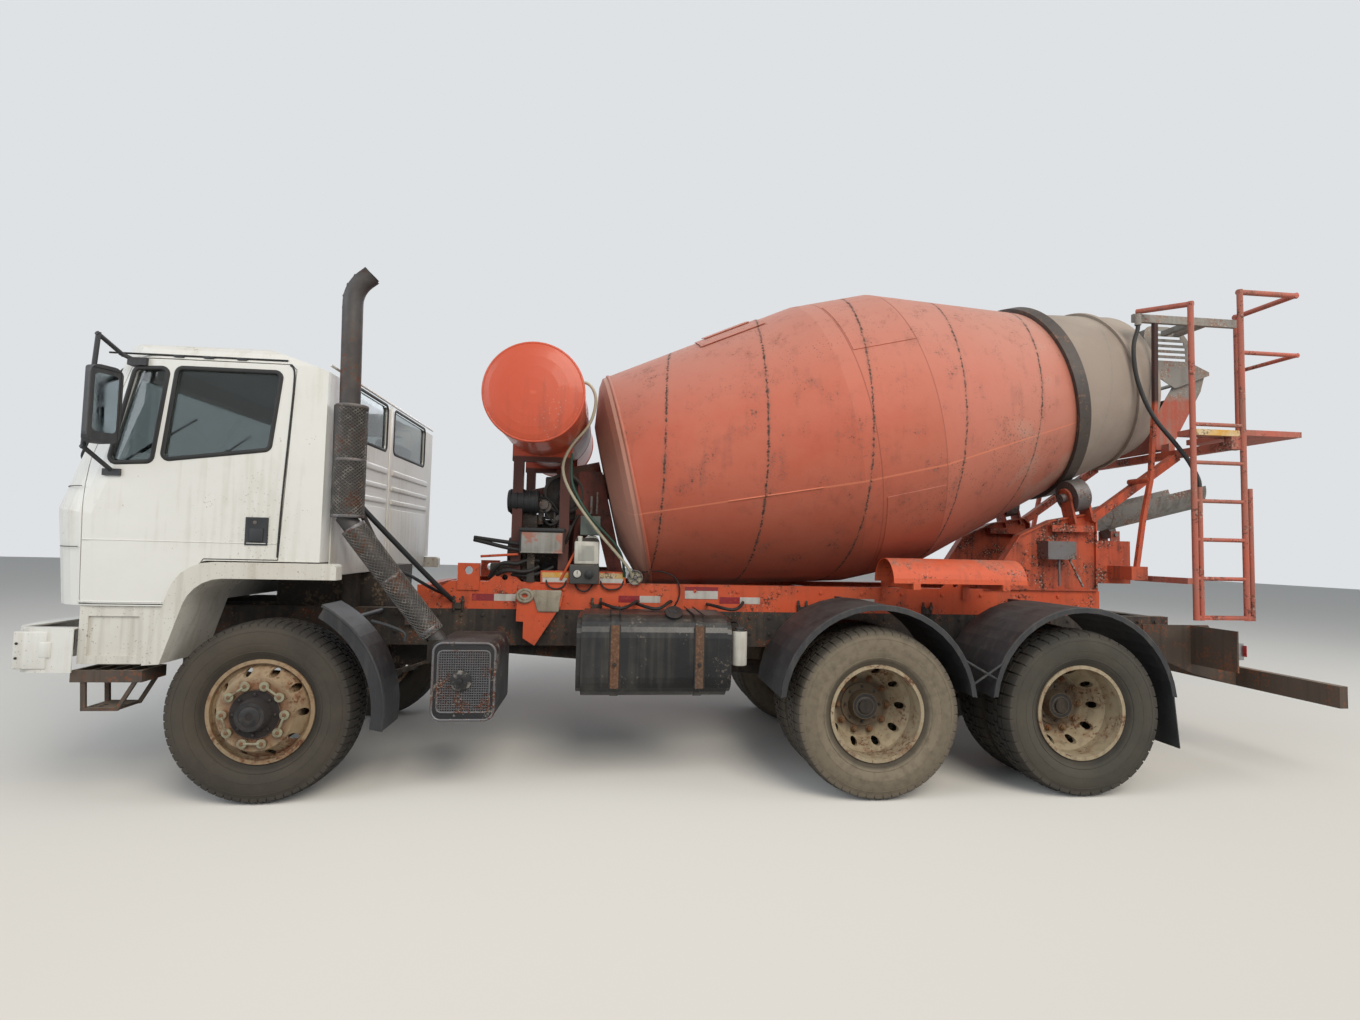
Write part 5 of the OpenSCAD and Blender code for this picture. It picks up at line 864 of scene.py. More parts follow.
panel_y = 1.165
from_front = (1, 0, 0)
quarter_pane = [(-3.630, 1.925), (-3.402, 1.938), (-3.340, 2.478), (-3.518, 2.470)]
main_pane = [(-3.350, 1.950), (-2.775, 2.028), (-2.728, 2.482), (-3.295, 2.482)]
for side, hand in hands:
    for pane, corners in (("quarter", quarter_pane), ("main", main_pane)):
        loop = [(x, side * panel_y, z) for x, z in rounded_loop(corners, 0.034)]
        seal("window_seal_" + pane + "_" + hand, loop, "door_" + hand, 0.013, 0.45)
screen_corners = [(-1.000, 1.990), (1.000, 1.990), (0.965, 2.488), (-0.965, 2.488)]
loop = []
for y, z in rounded_loop(screen_corners, 0.062, 6):
    outward = 1.018 if abs(y) > 0.5 else 1.0
    place = touch("cab_shell", (-6.0, y * outward, z + (0.022 if z > 2.24 else -0.022)), from_front)
    if place:
        loop.append(place - Vector((0.001, 0, 0)))
seal("windscreen_seal", loop, "cab", 0.015, 1.0)
rear_x = -2.470
rear_panes = {"left": (-0.920, -0.095), "right": (0.060, 0.915)}
for hand, (y0, y1) in rear_panes.items():
    loop = [(rear_x, y, z) for y, z in rounded_loop(oblong((y0, 2.180), (y1, 2.515)), 0.042)]
    seal("rear_window_seal_" + hand, loop, "cab", 0.011, 0.5, 0)
print("sealed", 4 + 1 + len(rear_panes), "window openings")

# %% [markdown]
# ## Pressed ribs, seams and panel gaps
# Wide flat sheet metal drums and bends, so the cab's rear wall is pressed into ribs, and its two halves meet
# in a welded seam. A bead half sunk into the wall reads as a pressing; a thin line of painted shade reads as
# a gap.

# %% Press the rear wall and draw the door's lines
ribs = []
for z0, z1, depth, edge, steps in ((2.008, 2.056, 0.012, 0.0115, 4), (1.892, 1.932, 0.012, 0.0115, 4),
        (1.788, 1.830, 0.012, 0.0115, 4), (1.30, 1.76, 0.006, 0.0058, 3)):
    for y0, y1 in ((-1.035, -0.075), (0.036, 1.020)):
        ribs.append(block((rear_x - depth, y0, z0), (rear_x + depth, y1, z1), edge, steps))
settled(ribs, "rear_wall_ribs", cab_enamel, "cab", 50)
settled([block((rear_x - 0.008, -0.034, 1.14), (rear_x + 0.008, -0.006, 2.53), 0.005, 2),
    block((rear_x - 0.004, -1.150, 2.535), (rear_x + 0.010, 1.150, 2.549), 0.004, 2)], "rear_wall_seam",
    cab_enamel, "cab")
# nearly black, a painted shade, so that a thin tube reads as a slit
gap_black = weathered("dark_panel_gap", "#17181a", [(*shaded, 0.5, "#3a3833")], roughness=0.8, relief=0.1)
door_rear_edge = ((-2.7005, 1.41), (-2.699, 1.60), (-2.674, 2.10), (-2.6535, 2.48), (-2.662, 2.515),
    (-2.685, 2.526))
for side, hand in hands:
    y = side * panel_y
    settled(bent_tube([(x, y, z) for x, z in door_rear_edge], 0.0055), "door_edge_seal_" + hand, rubber_black,
        "door_" + hand)
    settled([rod((-3.735, y, 1.492), (-2.705, y, 1.487), 0.0032, 8), rod((-3.735, y, 1.147),
        (-3.30, y, 1.147), 0.004, 8)], "door_crease_" + hand, cab_enamel, "door_" + hand)
    lines = []
    for z in (1.790, 1.450):
        place = touch("cab_shell", (-3.925, y * 1.5, z), (0, -side, 0))
        if place:
            on_panel = y - side * 0.0005
            lines.append(bent_tube([(-3.755, on_panel, z), (-3.83, on_panel, z), place], 0.0022))
    settled(lines, "front_corner_gaps_" + hand, gap_black, "cab")
print("pressed", len(ribs), "ribs and drawn the lines of", len(hands), "doors")

# %% [markdown]
# ## Door handles
# The handle is a black moulded dish let into the door, with a pull behind which the fingers go, and a lock
# above it. The dish is a block whose outer face is inset and pushed in, as it would be pressed in a mould.

# %% Mould the handles and set the locks
handle_x, handle_z = (-2.881, -2.757), (1.477, 1.637)
for side, hand in hands:
    y = side * panel_y
    dish = block((handle_x[0], y - 0.006, handle_z[0]), (handle_x[1], y + 0.006, handle_z[1]), 0, 1)
    bpy.ops.object.mode_set(mode="EDIT")
    bpy.ops.mesh.select_all(action="DESELECT")
    bpy.ops.mesh.select_mode(type="FACE")
    bpy.ops.object.mode_set(mode="OBJECT")
    for face in dish.data.polygons:
        face.select = face.normal.y * side > 0.9
    bpy.ops.object.mode_set(mode="EDIT")
    bpy.ops.mesh.inset(thickness=0.014)
    bpy.ops.transform.translate(value=(0, -side * 0.0045, 0))
    bpy.ops.object.mode_set(mode="OBJECT")
    applied(dish, "BEVEL", width=0.0022, segments=2)
    pull = block((handle_x[0] + 0.022, y - 0.003, handle_z[0] + 0.018),
        (handle_x[1] - 0.026, y + 0.007, handle_z[0] + 0.098), 0.006, 3)
    if side < 0:
        pull.location.y -= 0.004
    lock = pin(handle_x[0] + 0.050, handle_z[1] - 0.030, y - side * 0.004, y + side * 0.0035, 0.011, 24,
        0.001)
    settled([dish, pull], "door_handle_" + hand, black_plastic, "door_" + hand)
    settled(lock, "door_lock_" + hand, steel_grey, "door_" + hand)
print("handles set:", len(hands))

# %% [markdown]
# ## Mirror faces
# Mirror glass is silver behind a thin pane: a metal with almost no roughness. Each stands a millimetre or two
# proud of its housing and faces backwards.

# %% Silver the mirrors
silvered = filmed("silvered_mirror_glass", "#7e888d", 0.03, 0.25, 9.0, 0.4, {"Metallic": 1.0})
for side, hand in hands:
    corners = []
    for y, z in rounded_loop(oblong((1.283, 2.070), (1.397, 2.385)), 0.022, 3):
        place = touch("mirror_" + hand, (-3.0, side * y, z), (-1, 0, 0))
        if place:
            corners.append(place + Vector((0.0015, 0, 0)))
    nothing_selected()
    bpy.ops.mesh.primitive_circle_add(vertices=len(corners), fill_type="NGON")
    pane = bpy.context.object
    for vertex, corner in zip(pane.data.vertices, corners):
        vertex.co = corner
    pane.data.update()
    if pane.data.polygons[0].normal.x < 0:
        pane.data.flip_normals()
    settled(applied(pane, "SOLIDIFY", thickness=0.003, offset=-1), "mirror_glass_" + hand, silvered,
        "door_" + hand)
print("mirrors silvered:", len(hands))

# %% [markdown]
# ## Small things on the cab
# Wipers, roof lamps, gutter clips and the bumper's bolts are small, but a cab without them looks like a toy.
# Each is placed by touching the panel that carries it.

# %% Fit wipers, roof lamps and clips
wipers = []
lift = Vector((-0.022, 0, 0))
for y in (-0.62, 0.12):
    pivot = touch("cab_shell", (-6, y, 1.945), from_front)
    tip = touch("cab_glass", (-6, y + 0.52, 2.36), from_front)
    bend = touch("cab_glass", (-6, y + 0.10, 2.04), from_front)
    wipers += [bent_tube([pivot + lift, bend + lift * 1.3, bend.lerp(tip, 0.55) + lift * 1.5], 0.0065),
        bent_tube([bend.lerp(tip, t) + lift * (0.55 if 0 < t < 1 else 0.35)
        for t in (0.08, 0.3, 0.6, 0.85, 1.0)], 0.008), rod(pivot + Vector((0.004, 0, 0)), pivot + lift * 1.3,
        0.017, 16, 0.002)]
settled(wipers, "wipers", rubber_black, "cab")
settled([block((-0.055, -0.035, -0.004), (0.045, 0.035, 0.034), 0.013, 4,
    touch("cab_roof", (-3.64, y, 5), (0, 0, -1))) for y in (-0.86, 0.86)], "roof_marker_lamps", lens_amber,
    "cab")
settled([block((-0.028, -0.007, 2.541), (0.028, 0.007, 2.556), 0.004, 2, (x, side * panel_y, 0))
    for x in (-3.29, -3.13, -2.95) for side in both], "roof_gutter_clips", black_plastic, "cab")
# the gutter's dark tube is painted shade in its channel
settled([bent_tube([(x, side * 1.1635, 2.552) for x in (-3.66, -3.3, -3.0, -2.70)], 0.0055) for side in both],
    "roof_gutter", gap_black, "cab")
end_caps, bolts, tape = [], [], []
for side in both:
    y = side * 1.1745
    end_caps += [block((-4.035, y - 0.006, 0.775), (-3.865, y + 0.006, 0.980), 0.0055, 3),
        block((-3.905, y - 0.008, 0.835), (-3.845, y + 0.008, 0.925), 0.007, 3)]
    bolts += [pin(-4.015, z, y, y + side * 0.011, 0.007, 12, 0.001) for z in (0.835, 0.915)]
    for z in (0.818, 0.868, 0.918):
        place = touch("bumper", (-6, side * 1.06, z), from_front)
        if place:
            tape.append(block((-0.0012, -0.018, -0.017), (0.002, 0.018, 0.017), 0.001, 1, place))
settled(end_caps, "bumper_end_caps", cab_enamel)
settled(bolts, "bumper_bolts", rubber_black)
settled(tape, "bumper_reflectors", lens_red)
print("cab dressed:", len(wipers) // 3, "wipers,", len(tape), "reflectors")

# %% [markdown]
# ## Lamps and number plate
# A headlamp is a bright bowl behind a ribbed clear lens. Each plate's place holds a bare plate, since nothing
# on this truck is to be read.

# %% Set lenses into the bumper and a bare plate on it
# a bright metal behind the lens, and a plate of dull white
reflector = weathered("bright_reflector_bowl", "#b9bcbd", [
    (*shaded, 0.5, "#8f8a80")], roughness=0.2, metallic=1.0, relief=0.05)
plate_white = weathered("bare_plate", "#c9c7c0", [
    (*shaded, 0.6, "#a8a296"), (*spattered, 0.6, cement)], roughness=0.4, relief=0.1)
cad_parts["lamps"].data.materials.clear()
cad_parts["lamps"].data.materials.append(reflector)
lenses, ambers, reds = [], [], []
for side in both:
    place = touch("lamps", (-6, side * 0.80, 0.87), from_front)
    lenses.append(block((-0.005, -0.125, -0.062), (-0.0005, 0.125, 0.062), 0.002, 2, place))
    for k in range(11):
        lenses.append(post(place.x - 0.005, side * 0.80 - 0.11 + k * 0.022, place.z - 0.055, place.z + 0.055,
            0.0028, 8))
    rear = touch("lamps", (6, side * 0.70, 0.86), (-1, 0, 0))
    for y0, y1, kind in ((-0.13, -0.02, reds), (-0.012, 0.06, ambers), (0.068, 0.13, reds)):
        kind.append(block((-0.004, side * y0, -0.040), (0.006, side * y1, 0.040), 0.003, 3, rear))
settled(lenses, "headlamp_lenses", lens_clear)
settled(reds, "tail_lamp_lenses", lens_red)
settled(ambers, "turn_lamp_lenses", lens_amber)
place = touch("bumper", (-6, 0.0, 0.80), from_front)
settled(block((-0.006, -0.20, -0.035), (0.001, 0.20, 0.030), 0.002, 2, place), "front_plate", plate_white)
print("lamps and plates set")

# %% [markdown]
# ## Expanded metal round the exhaust
# Slit steel sheet, pulled open, becomes a lattice of diamonds: a guard that lets heat out and keeps hands
# off. A plain tube gives it: each face is poked, which puts a point in its middle, and the old edges are
# dissolved, which leaves diamonds. A wireframe modifier then gives every strand its thickness.

# %% Wrap the pipe and face the silencer
def expanded_sleeve(start, end, radius, around, doublings=5, strand=0.0048):
    """A sleeve of expanded metal from one point to another."""
    sleeve = cylinder(start, end, radius, around, "NOTHING")
    height = [vertex.co.z for vertex in sleeve.data.vertices]
    for _ in range(doublings):
        edges_chosen(sleeve, lambda line: abs(height[line.vertices[0]] - height[line.vertices[1]]) > 0.001)
        bpy.ops.mesh.subdivide(number_cuts=1)
        bpy.ops.object.mode_set(mode="OBJECT")
        height = [vertex.co.z for vertex in sleeve.data.vertices]
    old, rim = len(height), max(height) - 0.0005
    bpy.ops.object.mode_set(mode="EDIT")
    bpy.ops.mesh.select_all(action="SELECT")
    bpy.ops.mesh.poke()
    edges_chosen(sleeve, lambda line: max(line.vertices) < old and min(abs(height[i])
        for i in line.vertices) <= rim)
    bpy.ops.mesh.dissolve_edges(use_verts=False)
    bpy.ops.object.mode_set(mode="OBJECT")
    return applied(sleeve, "WIREFRAME", thickness=strand, use_boundary=True)


# soot with pale specks that are painted glints, and the dull grey of galvanised strands with pale painted
# glints
shield_black = weathered("sooty_expanded_metal", "#1d1d1e", [
    # the pale mottle is a painted highlight: glints of light on the metal
    (*faded, 0.5, "#363432"), ("mottle", 0.54, 0.66, 0.75, "#8f8a82"),
    ("chips patches", 0.32, 0.38, 0.8, "#8b8379")], roughness=0.5, relief=0.2)
strand_grey = weathered("dull_galvanised_strands", "#65625e", [
    # the pale mottle is a painted highlight: glints on the strands
    (*faded, 0.5, "#3d3a37"), ("mottle", 0.50, 0.66, 0.6, "#a39d94"),
    ("chips patches", 0.32, 0.38, 0.6, rust)], roughness=0.45, metallic=0.4, relief=0.1)
pipe_low, pipe_entry = Vector((-2.355, -1.095, 1.640)), Vector((-1.809, -0.985, 0.890))
slope = (pipe_entry - pipe_low).normalized()
upright = expanded_sleeve((-2.355, -1.095, 1.657), (-2.358, -1.095, 2.310), 0.0895, 22)
slanted = expanded_sleeve(pipe_low + slope * 0.060, pipe_entry - slope * 0.096, 0.0700, 18)
settled(upright, "upright_exhaust_guard", strand_grey, smooth=20)
settled(slanted, "slanted_exhaust_guard", strand_grey, smooth=20)
clamps = [rod(pipe_low + slope * along, pipe_low + slope * (along + 0.020), radius, 32, 0.003) for along,
    radius in ((0.056, 0.0715), (0.42, 0.0705), (0.80, 0.0705))]
clamps += [post(-2.355, -1.095, z, z + 0.018, 0.0905, 36, 0.003) for z in (1.650, 1.980, 2.300)]
settled(clamps, "exhaust_guard_clamps", steel_grey)
bend_middle, bend_radius, tail_way = Vector((-2.191, -1.095, 2.941)), 0.190, Vector((0.766, 0.0, 0.643))
elbow = [Vector((-2.370, -1.095, 2.318)), Vector((-2.381, -1.095, 2.90))]
for degree in range(0, 51, 5):
    a = math.radians(degree)
    elbow.append(bend_middle + Vector((-math.cos(a), 0.0, math.sin(a))) * bend_radius)
tail_end = elbow[-1] + tail_way * 0.0455
settled(bent_tube(elbow + [tail_end], 0.0575, sides=14, smooth_path=False), "exhaust_elbow", exhaust_metal,
    smooth=60)
# The dark disc on the pipe's closed end stands for its open mouth: black soot and painted shade inside the
# pipe.
settled(rod(tail_end - tail_way * 0.004, tail_end + tail_way * 0.0012, 0.050, 36), "exhaust_mouth",
    shield_black)
print("sleeves have", len(upright.data.polygons), "and", len(slanted.data.polygons), "faces")

# %% [markdown]
# ## The silencer's face
# A perforated plate is a flat grid under the same wireframe modifier: wide strands leave small square holes.

# %% Face the silencer with perforated plate
face_y = -1.120
nothing_selected()
bpy.ops.mesh.primitive_grid_add(x_subdivisions=21, y_subdivisions=25, size=1,
    location=(-1.645, face_y - 0.002, 0.700), rotation=(math.radians(90), 0, 0))
plate = bpy.context.object
plate.scale = (0.290, 0.350, 1.0)
bpy.ops.object.transform_apply(location=False, rotation=False, scale=True)
settled(applied(plate, "WIREFRAME", thickness=0.0052, use_boundary=True), "silencer_perforated_plate",
    steel_grey, smooth=20)
settled([bent_tube([(x, face_y - 0.001, z) for x, z in rounded_loop(oblong(low, high), bend)], thick,
    closed=True, smooth_path=False) for low, high, bend, thick in (((-1.824, 0.476), (-1.466, 0.924), 0.055,
    0.008), ((-1.796, 0.520), (-1.494, 0.880), 0.030, 0.005))], "silencer_edge_bead", steel_grey)
settled([pin(-1.660, 0.705, face_y + 0.004, face_y - 0.012, 0.062, 40, 0.004),
    pin(-1.660, 0.705, face_y - 0.010, face_y - 0.026, 0.014, 6, 0.001)], "silencer_disc", shield_black)
print("silencer faced")

# %% [markdown]
# ## Fuel tank fittings
# The straps are held off the tank by rubber strips and pulled tight by a bolt. The cap has grips for the
# hand, and a white header canister stands in a bracket behind the tank.

# %% Fit straps, cap and canister
# milk-white plastic, yellowed and dusty, and brown strap steel
milk_plastic = weathered("milky_polyethylene", "#cfcec6", [
    (*faded, 0.5, "#b5b2a6"), (*streaked, 0.5, "#8d877a"),
    ("z", 0.80, 0.78, 0.4, "#77705f")], roughness=0.4, relief=0.1)
strap_brown = weathered("rusted_strap_steel", "#4c3c30", [
    (*blotched, 0.7, "#6d4a36"), ("mottle", 0.5, 0.7, 0.5, "#33281f"),
    ("chips", 0.5, 0.6, 0.4, "#8a6a50")], roughness=0.75, relief=0.4)
straps, bands = [], []
for x in (-0.760, -0.240):
    for y0, y1, z0, z1 in ((-1.066, -0.47, 1.094, 1.100), (-1.109, -1.1045, 0.66, 1.041)):
        straps += [block((x0, y0, z0), (x0 + 0.008, y1, z1), 0.0015, 1) for x0 in (x - 0.034, x + 0.026)]
    straps.append(pin(x, 0.80, -1.108, -1.122, 0.012, 6, 0.001))
    bands.append(block((x - 0.026, -1.1085, 0.655), (x + 0.026, -1.1050, 1.036), 0.001, 1))
settled(straps, "tank_strap_edges", rubber_black)
settled(bands, "tank_straps", strap_brown)
cap = Vector((-0.395, -0.960, 1.112))
grips = copied(block((0.046, -0.006, -0.012), (0.056, 0.006, 0.012), 0.002, 1, cap),
    [moved(*cap) @ Matrix.Rotation(a, 4, "Z") @ moved(*-cap) for a in turns(12)])
settled([grips, post(cap.x, cap.y, cap.z - 0.010, cap.z + 0.008, 0.050, 36, 0.004),
    block((-0.045, -0.009, 0.006), (0.045, 0.009, 0.022), 0.004, 2, cap)], "tank_cap_grips", black_plastic)
settled(post(0.020, -1.040, 0.788, 1.004, 0.0475, 36, 0.006), "header_canister", milk_plastic)
spout = bent_tube([(0.020, y, z) for y, z in ((-1.030, 1.018), (-1.000, 1.045), (-0.930, 1.050),
    (-0.60, 1.00), (-0.44, 0.98))], 0.007)
settled([post(0.020, -1.040, 1.002, 1.024, 0.030, 24, 0.004), spout], "header_canister_lid_and_pipe",
    black_plastic)
settled([bent_tube([(x, -0.44, 1.115), (x + 0.03, -0.60, 1.118), (x + 0.10, -0.72, 1.100),
    (x + 0.18, -0.70, 1.100), (x + 0.24, -0.56, 1.118 + sag), (x + 0.26, -0.44, 1.13)], 0.011) for x,
    sag in ((-0.86, 0.020), (-0.62, 0.03), (-0.10, 0.024))], "pipes_over_tank", rubber_black)
print("tank has", len(straps), "strap pieces")

# %% [markdown]
# ## Round the mixer's own engine
# The mixer has an engine of its own, open to the weather, and its owner has hung things on it over the years:
# a tray, a jug, a gauge panel, hoses. Each is a block or a turned rod with its edges broken, in its own
# finish.

# %% Dress the engine's left side
# flat grey with orange overspray, oily grey-green, a faded label and a dark grey panel
pale_box = weathered("weathered_grey_box_paint", "#9d9d99", [
    (*faded, 0.5, "#86847c"), (*streaked, 0.6, "#5e574c"), ("x patches", -0.58, -0.52, 0.6, "#a8502f"),
    ("up patches", 0.2, 0.7, 0.5, "#56514a")], roughness=0.55, relief=0.2)
teal_paint = weathered("oily_grey_green_enamel", "#46524e", [
    (*faded, 0.6, "#6b706a"), (*streaked, 0.6, "#2b2d2b")], roughness=0.5, relief=0.3)
faded_label = weathered("faded_blank_label", "#bdbdb4", [
    ("patches", 0.4, 0.6, 0.7, "#8f9089"), ("streaks", 0.5, 0.7, 0.4, "#6f6c62")], roughness=0.6)
panel_grey = weathered("dark_grey_panel_paint", "#3b3d3e", [
    ("clouds", 0.35, 0.7, 0.5, "#4e4c47"), ("up patches", 0.2, 0.6, 0.7, "#77705f")], roughness=0.6)
settled([block((-1.420, -0.494, 1.466), (-1.134, -0.486, 1.600), 0.003, 2),
    block((-1.427, -0.497, 1.456), (-1.127, -0.483, 1.468), 0.003, 2)], "tool_tray_face", pale_box)
settled([block((-1.434, -0.504, 1.606), (-1.122, -0.415, 1.632), 0.006, 3)] + [block((x, -0.497, 1.458),
    (x + 0.012, -0.485, 1.610), 0.002, 1) for x in (-1.430, -1.136)], "tool_tray_lid", black_plastic)
grip = bent_tube([(x, -0.468, z) for x, z in ((-0.985, 1.542), (-0.975, 1.572), (-0.945, 1.580),
    (-0.905, 1.578), (-0.892, 1.560), (-0.892, 1.530))], 0.010)
settled([block((-1.053, -0.492, 1.384), (-0.880, -0.444, 1.545), 0.012, 4),
    post(-1.015, -0.468, 1.540, 1.582, 0.019, 20, 0.003), grip], "white_jug", milk_plastic)
settled(block((-1.025, -0.4945, 1.410), (-0.915, -0.4915, 1.515), 0.001, 1), "blank_jug_label", faded_label)
settled(block((-1.084, -0.497, 1.246), (-0.877, -0.430, 1.380), 0.009, 3), "gauge_panel", panel_grey)
settled(pin(-1.028, 1.318, -0.497, -0.5035, 0.026, 28, 0.002), "gauge_dial", milk_plastic)
settled([pin(-1.028, 1.318, -0.495, -0.5015, 0.031, 28, 0.002), block((-1.030, -0.5055, 1.318),
    (-1.026, -0.5030, 1.338), 0.0005, 1), pin(-0.945, 1.318, -0.495, -0.522, 0.030, 24, 0.004),
    pin(-0.945, 1.318, -0.520, -0.534, 0.020, 10, 0.003)], "gauge_rim_and_knob", black_plastic)
settled(block((-1.016, -0.500, 1.588), (-0.876, -0.430, 1.724), 0.008, 3), "regulator_box", teal_paint)
filter_parts = [rod((-1.535, -0.350, 1.822), (-1.318, -0.350, 1.822), 0.082, 36, 0.010)]
filter_parts += [rod((x - 0.006, -0.350, 1.822), (x + 0.006, -0.350, 1.822), 0.087, 36, 0.003)
    for x in (-1.515, -1.47, -1.425, -1.38, -1.335)]
settled(filter_parts, "air_filter", black_plastic)
settled([pin(-1.285, 1.800, -0.262, -0.350, 0.056, 24, 0.005), pin(-1.285, 1.800, -0.345, -0.385, 0.034, 24,
    0.004), pin(-1.170, 1.700, -0.250, -0.330, 0.036, 24, 0.004), block((-1.33, -0.30, 1.66),
    (-1.29, -0.26, 1.88), 0.006, 2), pin(-1.120, 1.640, -0.230, -0.300, 0.030, 20, 0.003),
    post(-1.210, -0.300, 1.610, 1.780, 0.014, 14, 0.002), post(-0.945, -0.40, 1.74, 1.87, 0.011, 12, 0.002),
    post(-0.905, -0.40, 1.74, 1.90, 0.009, 12, 0.002)], "engine_castings", steel_grey)
fan_at = Vector((-1.145, -0.335, 1.885))
fan = [ring(fan_at, 0.135, 0.014, 48), pin(fan_at.x, fan_at.z, fan_at.y + 0.035, fan_at.y - 0.030, 0.040, 24,
    0.004)]
for a in turns(7):
    blade = block((-0.028, -0.003, 0.030), (0.028, 0.003, 0.126), 0.002, 1)
    blade.rotation_euler = (0, a, 0.5)
    blade.location = fan_at
    fan.append(blade)
fan += [block((-1.285, -0.300, 1.700), (-1.010, -0.215, 2.010), 0.012, 2),
    block((-1.500, -0.330, 1.630), (-1.330, -0.212, 1.735), 0.010, 2),
    post(-1.420, -0.300, 1.262, 1.460, 0.055, 24, 0.006), block((-1.640, -0.400, 1.262),
    (-1.450, -0.300, 1.380), 0.012, 2)]
settled(fan, "engine_fan_and_housings", engine_iron)
pulley = [(-1.285 + 0.058 * math.cos(a), -0.362, 1.800 + 0.058 * math.sin(a)) for a in (0.5, 1.2, 1.9, 2.6)]
belt = bent_tube(pulley + [(-1.21, -0.362, 1.655), (-1.17, -0.362, 1.662), (-1.132, -0.362, 1.70)], 0.007,
    closed=True)
hose_paths = (((-1.49, -0.30, 1.75), (-1.50, -0.36, 1.64), (-1.46, -0.40, 1.56), (-1.40, -0.42, 1.52)),
    ((-1.30, -0.28, 1.72), (-1.26, -0.37, 1.66), (-1.22, -0.39, 1.64), (-1.16, -0.36, 1.70),
    (-1.08, -0.26, 1.74)), ((-1.75, -0.42, 1.556), (-1.66, -0.44, 1.545), (-1.54, -0.45, 1.530),
    (-1.42, -0.45, 1.515)), ((-1.75, -0.42, 1.540), (-1.64, -0.46, 1.520), (-1.55, -0.46, 1.490),
    (-1.43, -0.46, 1.475)), ((-1.64, -0.40, 1.28), (-1.60, -0.44, 1.36), (-1.52, -0.46, 1.40),
    (-1.44, -0.44, 1.36), (-1.38, -0.43, 1.42), (-1.30, -0.40, 1.40)),
    ((-1.60, -0.40, 1.28), (-1.56, -0.46, 1.33), (-1.46, -0.47, 1.34), (-1.38, -0.46, 1.31),
    (-1.30, -0.42, 1.36)), ((-1.56, -0.38, 1.27), (-1.50, -0.42, 1.31), (-1.42, -0.44, 1.29),
    (-1.30, -0.42, 1.30), (-1.20, -0.40, 1.36)), ((-1.12, -0.40, 1.52), (-1.10, -0.44, 1.60),
    (-1.06, -0.40, 1.70), (-1.02, -0.30, 1.76)))
settled([belt] + [bent_tube(path, 0.014 if path[0][0] < -1.5 else 0.010) for path in hose_paths],
    "engine_hoses_and_belt", rubber_black)
settled([rod((-1.70, -0.43, 1.425), (-1.44, -0.45, 1.445), 0.009, 12, 0.001),
    rod((-1.145, -0.44, 1.27), (-1.03, -0.44, 1.51), 0.010, 12, 0.001)], "red_control_rods", mixer_orange)
print("engine dressed with", len(hose_paths), "hoses and more")

# %% [markdown]
# ## Hoses that hang past the drum
# A pale hose leaves the water tank, swings in front of the drum and runs down to a reel on the frame, and a
# green one runs beside it. Both are fixed at both ends, so they are machine hoses and not free cords.

# %% Hang the hoses and the reel
# a pale hose gone milky in the sun, and a plain green one
hose_pale = weathered("sun_bleached_clear_hose", "#b9b39c", [
    (*faded, 0.5, "#8f8974"), ("streaks", 0.5, 0.7, 0.4, "#6d6754")], roughness=0.35, relief=0.05)
hose_green = weathered("green_garden_hose", "#2f5548", [(*faded, 0.5, "#23392f")], roughness=0.4, relief=0.05)
pale_path = [(-1.060, -0.56, 2.640), (-0.998, -0.57, 2.668), (-0.936, -0.57, 2.596), (-0.927, -0.57, 2.505),
    (-0.950, -0.57, 2.400), (-0.988, -0.58, 2.318), (-1.070, -0.58, 2.236), (-1.138, -0.58, 2.118),
    (-1.149, -0.58, 2.028), (-1.112, -0.57, 1.914), (-0.994, -0.56, 1.740), (-0.863, -0.55, 1.578),
    (-0.731, -0.53, 1.437), (-0.657, -0.50, 1.350), (-0.644, -0.472, 1.300)]
green_path = [(-1.090, -0.50, 2.160), (-1.088, -0.50, 2.066), (-1.091, -0.50, 1.974), (-1.061, -0.50, 1.890),
    (-0.980, -0.50, 1.751), (-0.879, -0.50, 1.641), (-0.771, -0.50, 1.538), (-0.720, -0.49, 1.455),
    (-0.704, -0.47, 1.378), (-0.700, -0.44, 1.300)]
settled(bent_tube(pale_path, 0.0105, sides=4), "pale_water_hose", hose_pale, smooth=60)
settled(bent_tube(green_path, 0.0095, sides=4), "green_hose", hose_green, smooth=60)
reel_at = Vector((-0.622, -0.430, 1.296))
spoke_at = reel_at + Vector((0, -0.036, 0))
reel = [ring(reel_at - Vector((0, depth, 0)), 0.050, 0.005, 40) for depth in (0.006, 0.036)]
reel += [rod(spoke_at, spoke_at + Vector((0.048 * math.cos(a), 0, 0.048 * math.sin(a))), 0.004, 8)
    for a in turns(5, 0.3)]
reel.append(pin(reel_at.x, reel_at.z, reel_at.y + 0.004, reel_at.y - 0.044, 0.014, 20, 0.002))
settled(reel, "hose_reel", steel_grey)
settled([bent_tube(circle(reel_at - Vector((0, 0.020, 0)), r, 20), 0.0065, closed=True)
    for r in (0.022, 0.034, 0.045)], "hose_on_reel", hose_pale)
loops = [bent_tube([(x0, -0.434, 1.272), (x0 + 0.004, -0.446, 1.236), (x0 + 0.034, -0.450, low + 0.006),
    ((x0 + x1) / 2, -0.450, low), (x1 - 0.034, -0.450, low + 0.006), (x1 - 0.004, -0.446, 1.236),
    (x1, -0.434, 1.272)], 0.006) for x0, x1, low in ((-1.245, -1.105, 1.205), (-1.050, -0.915, 1.192),
    (-0.865, -0.705, 1.206))]
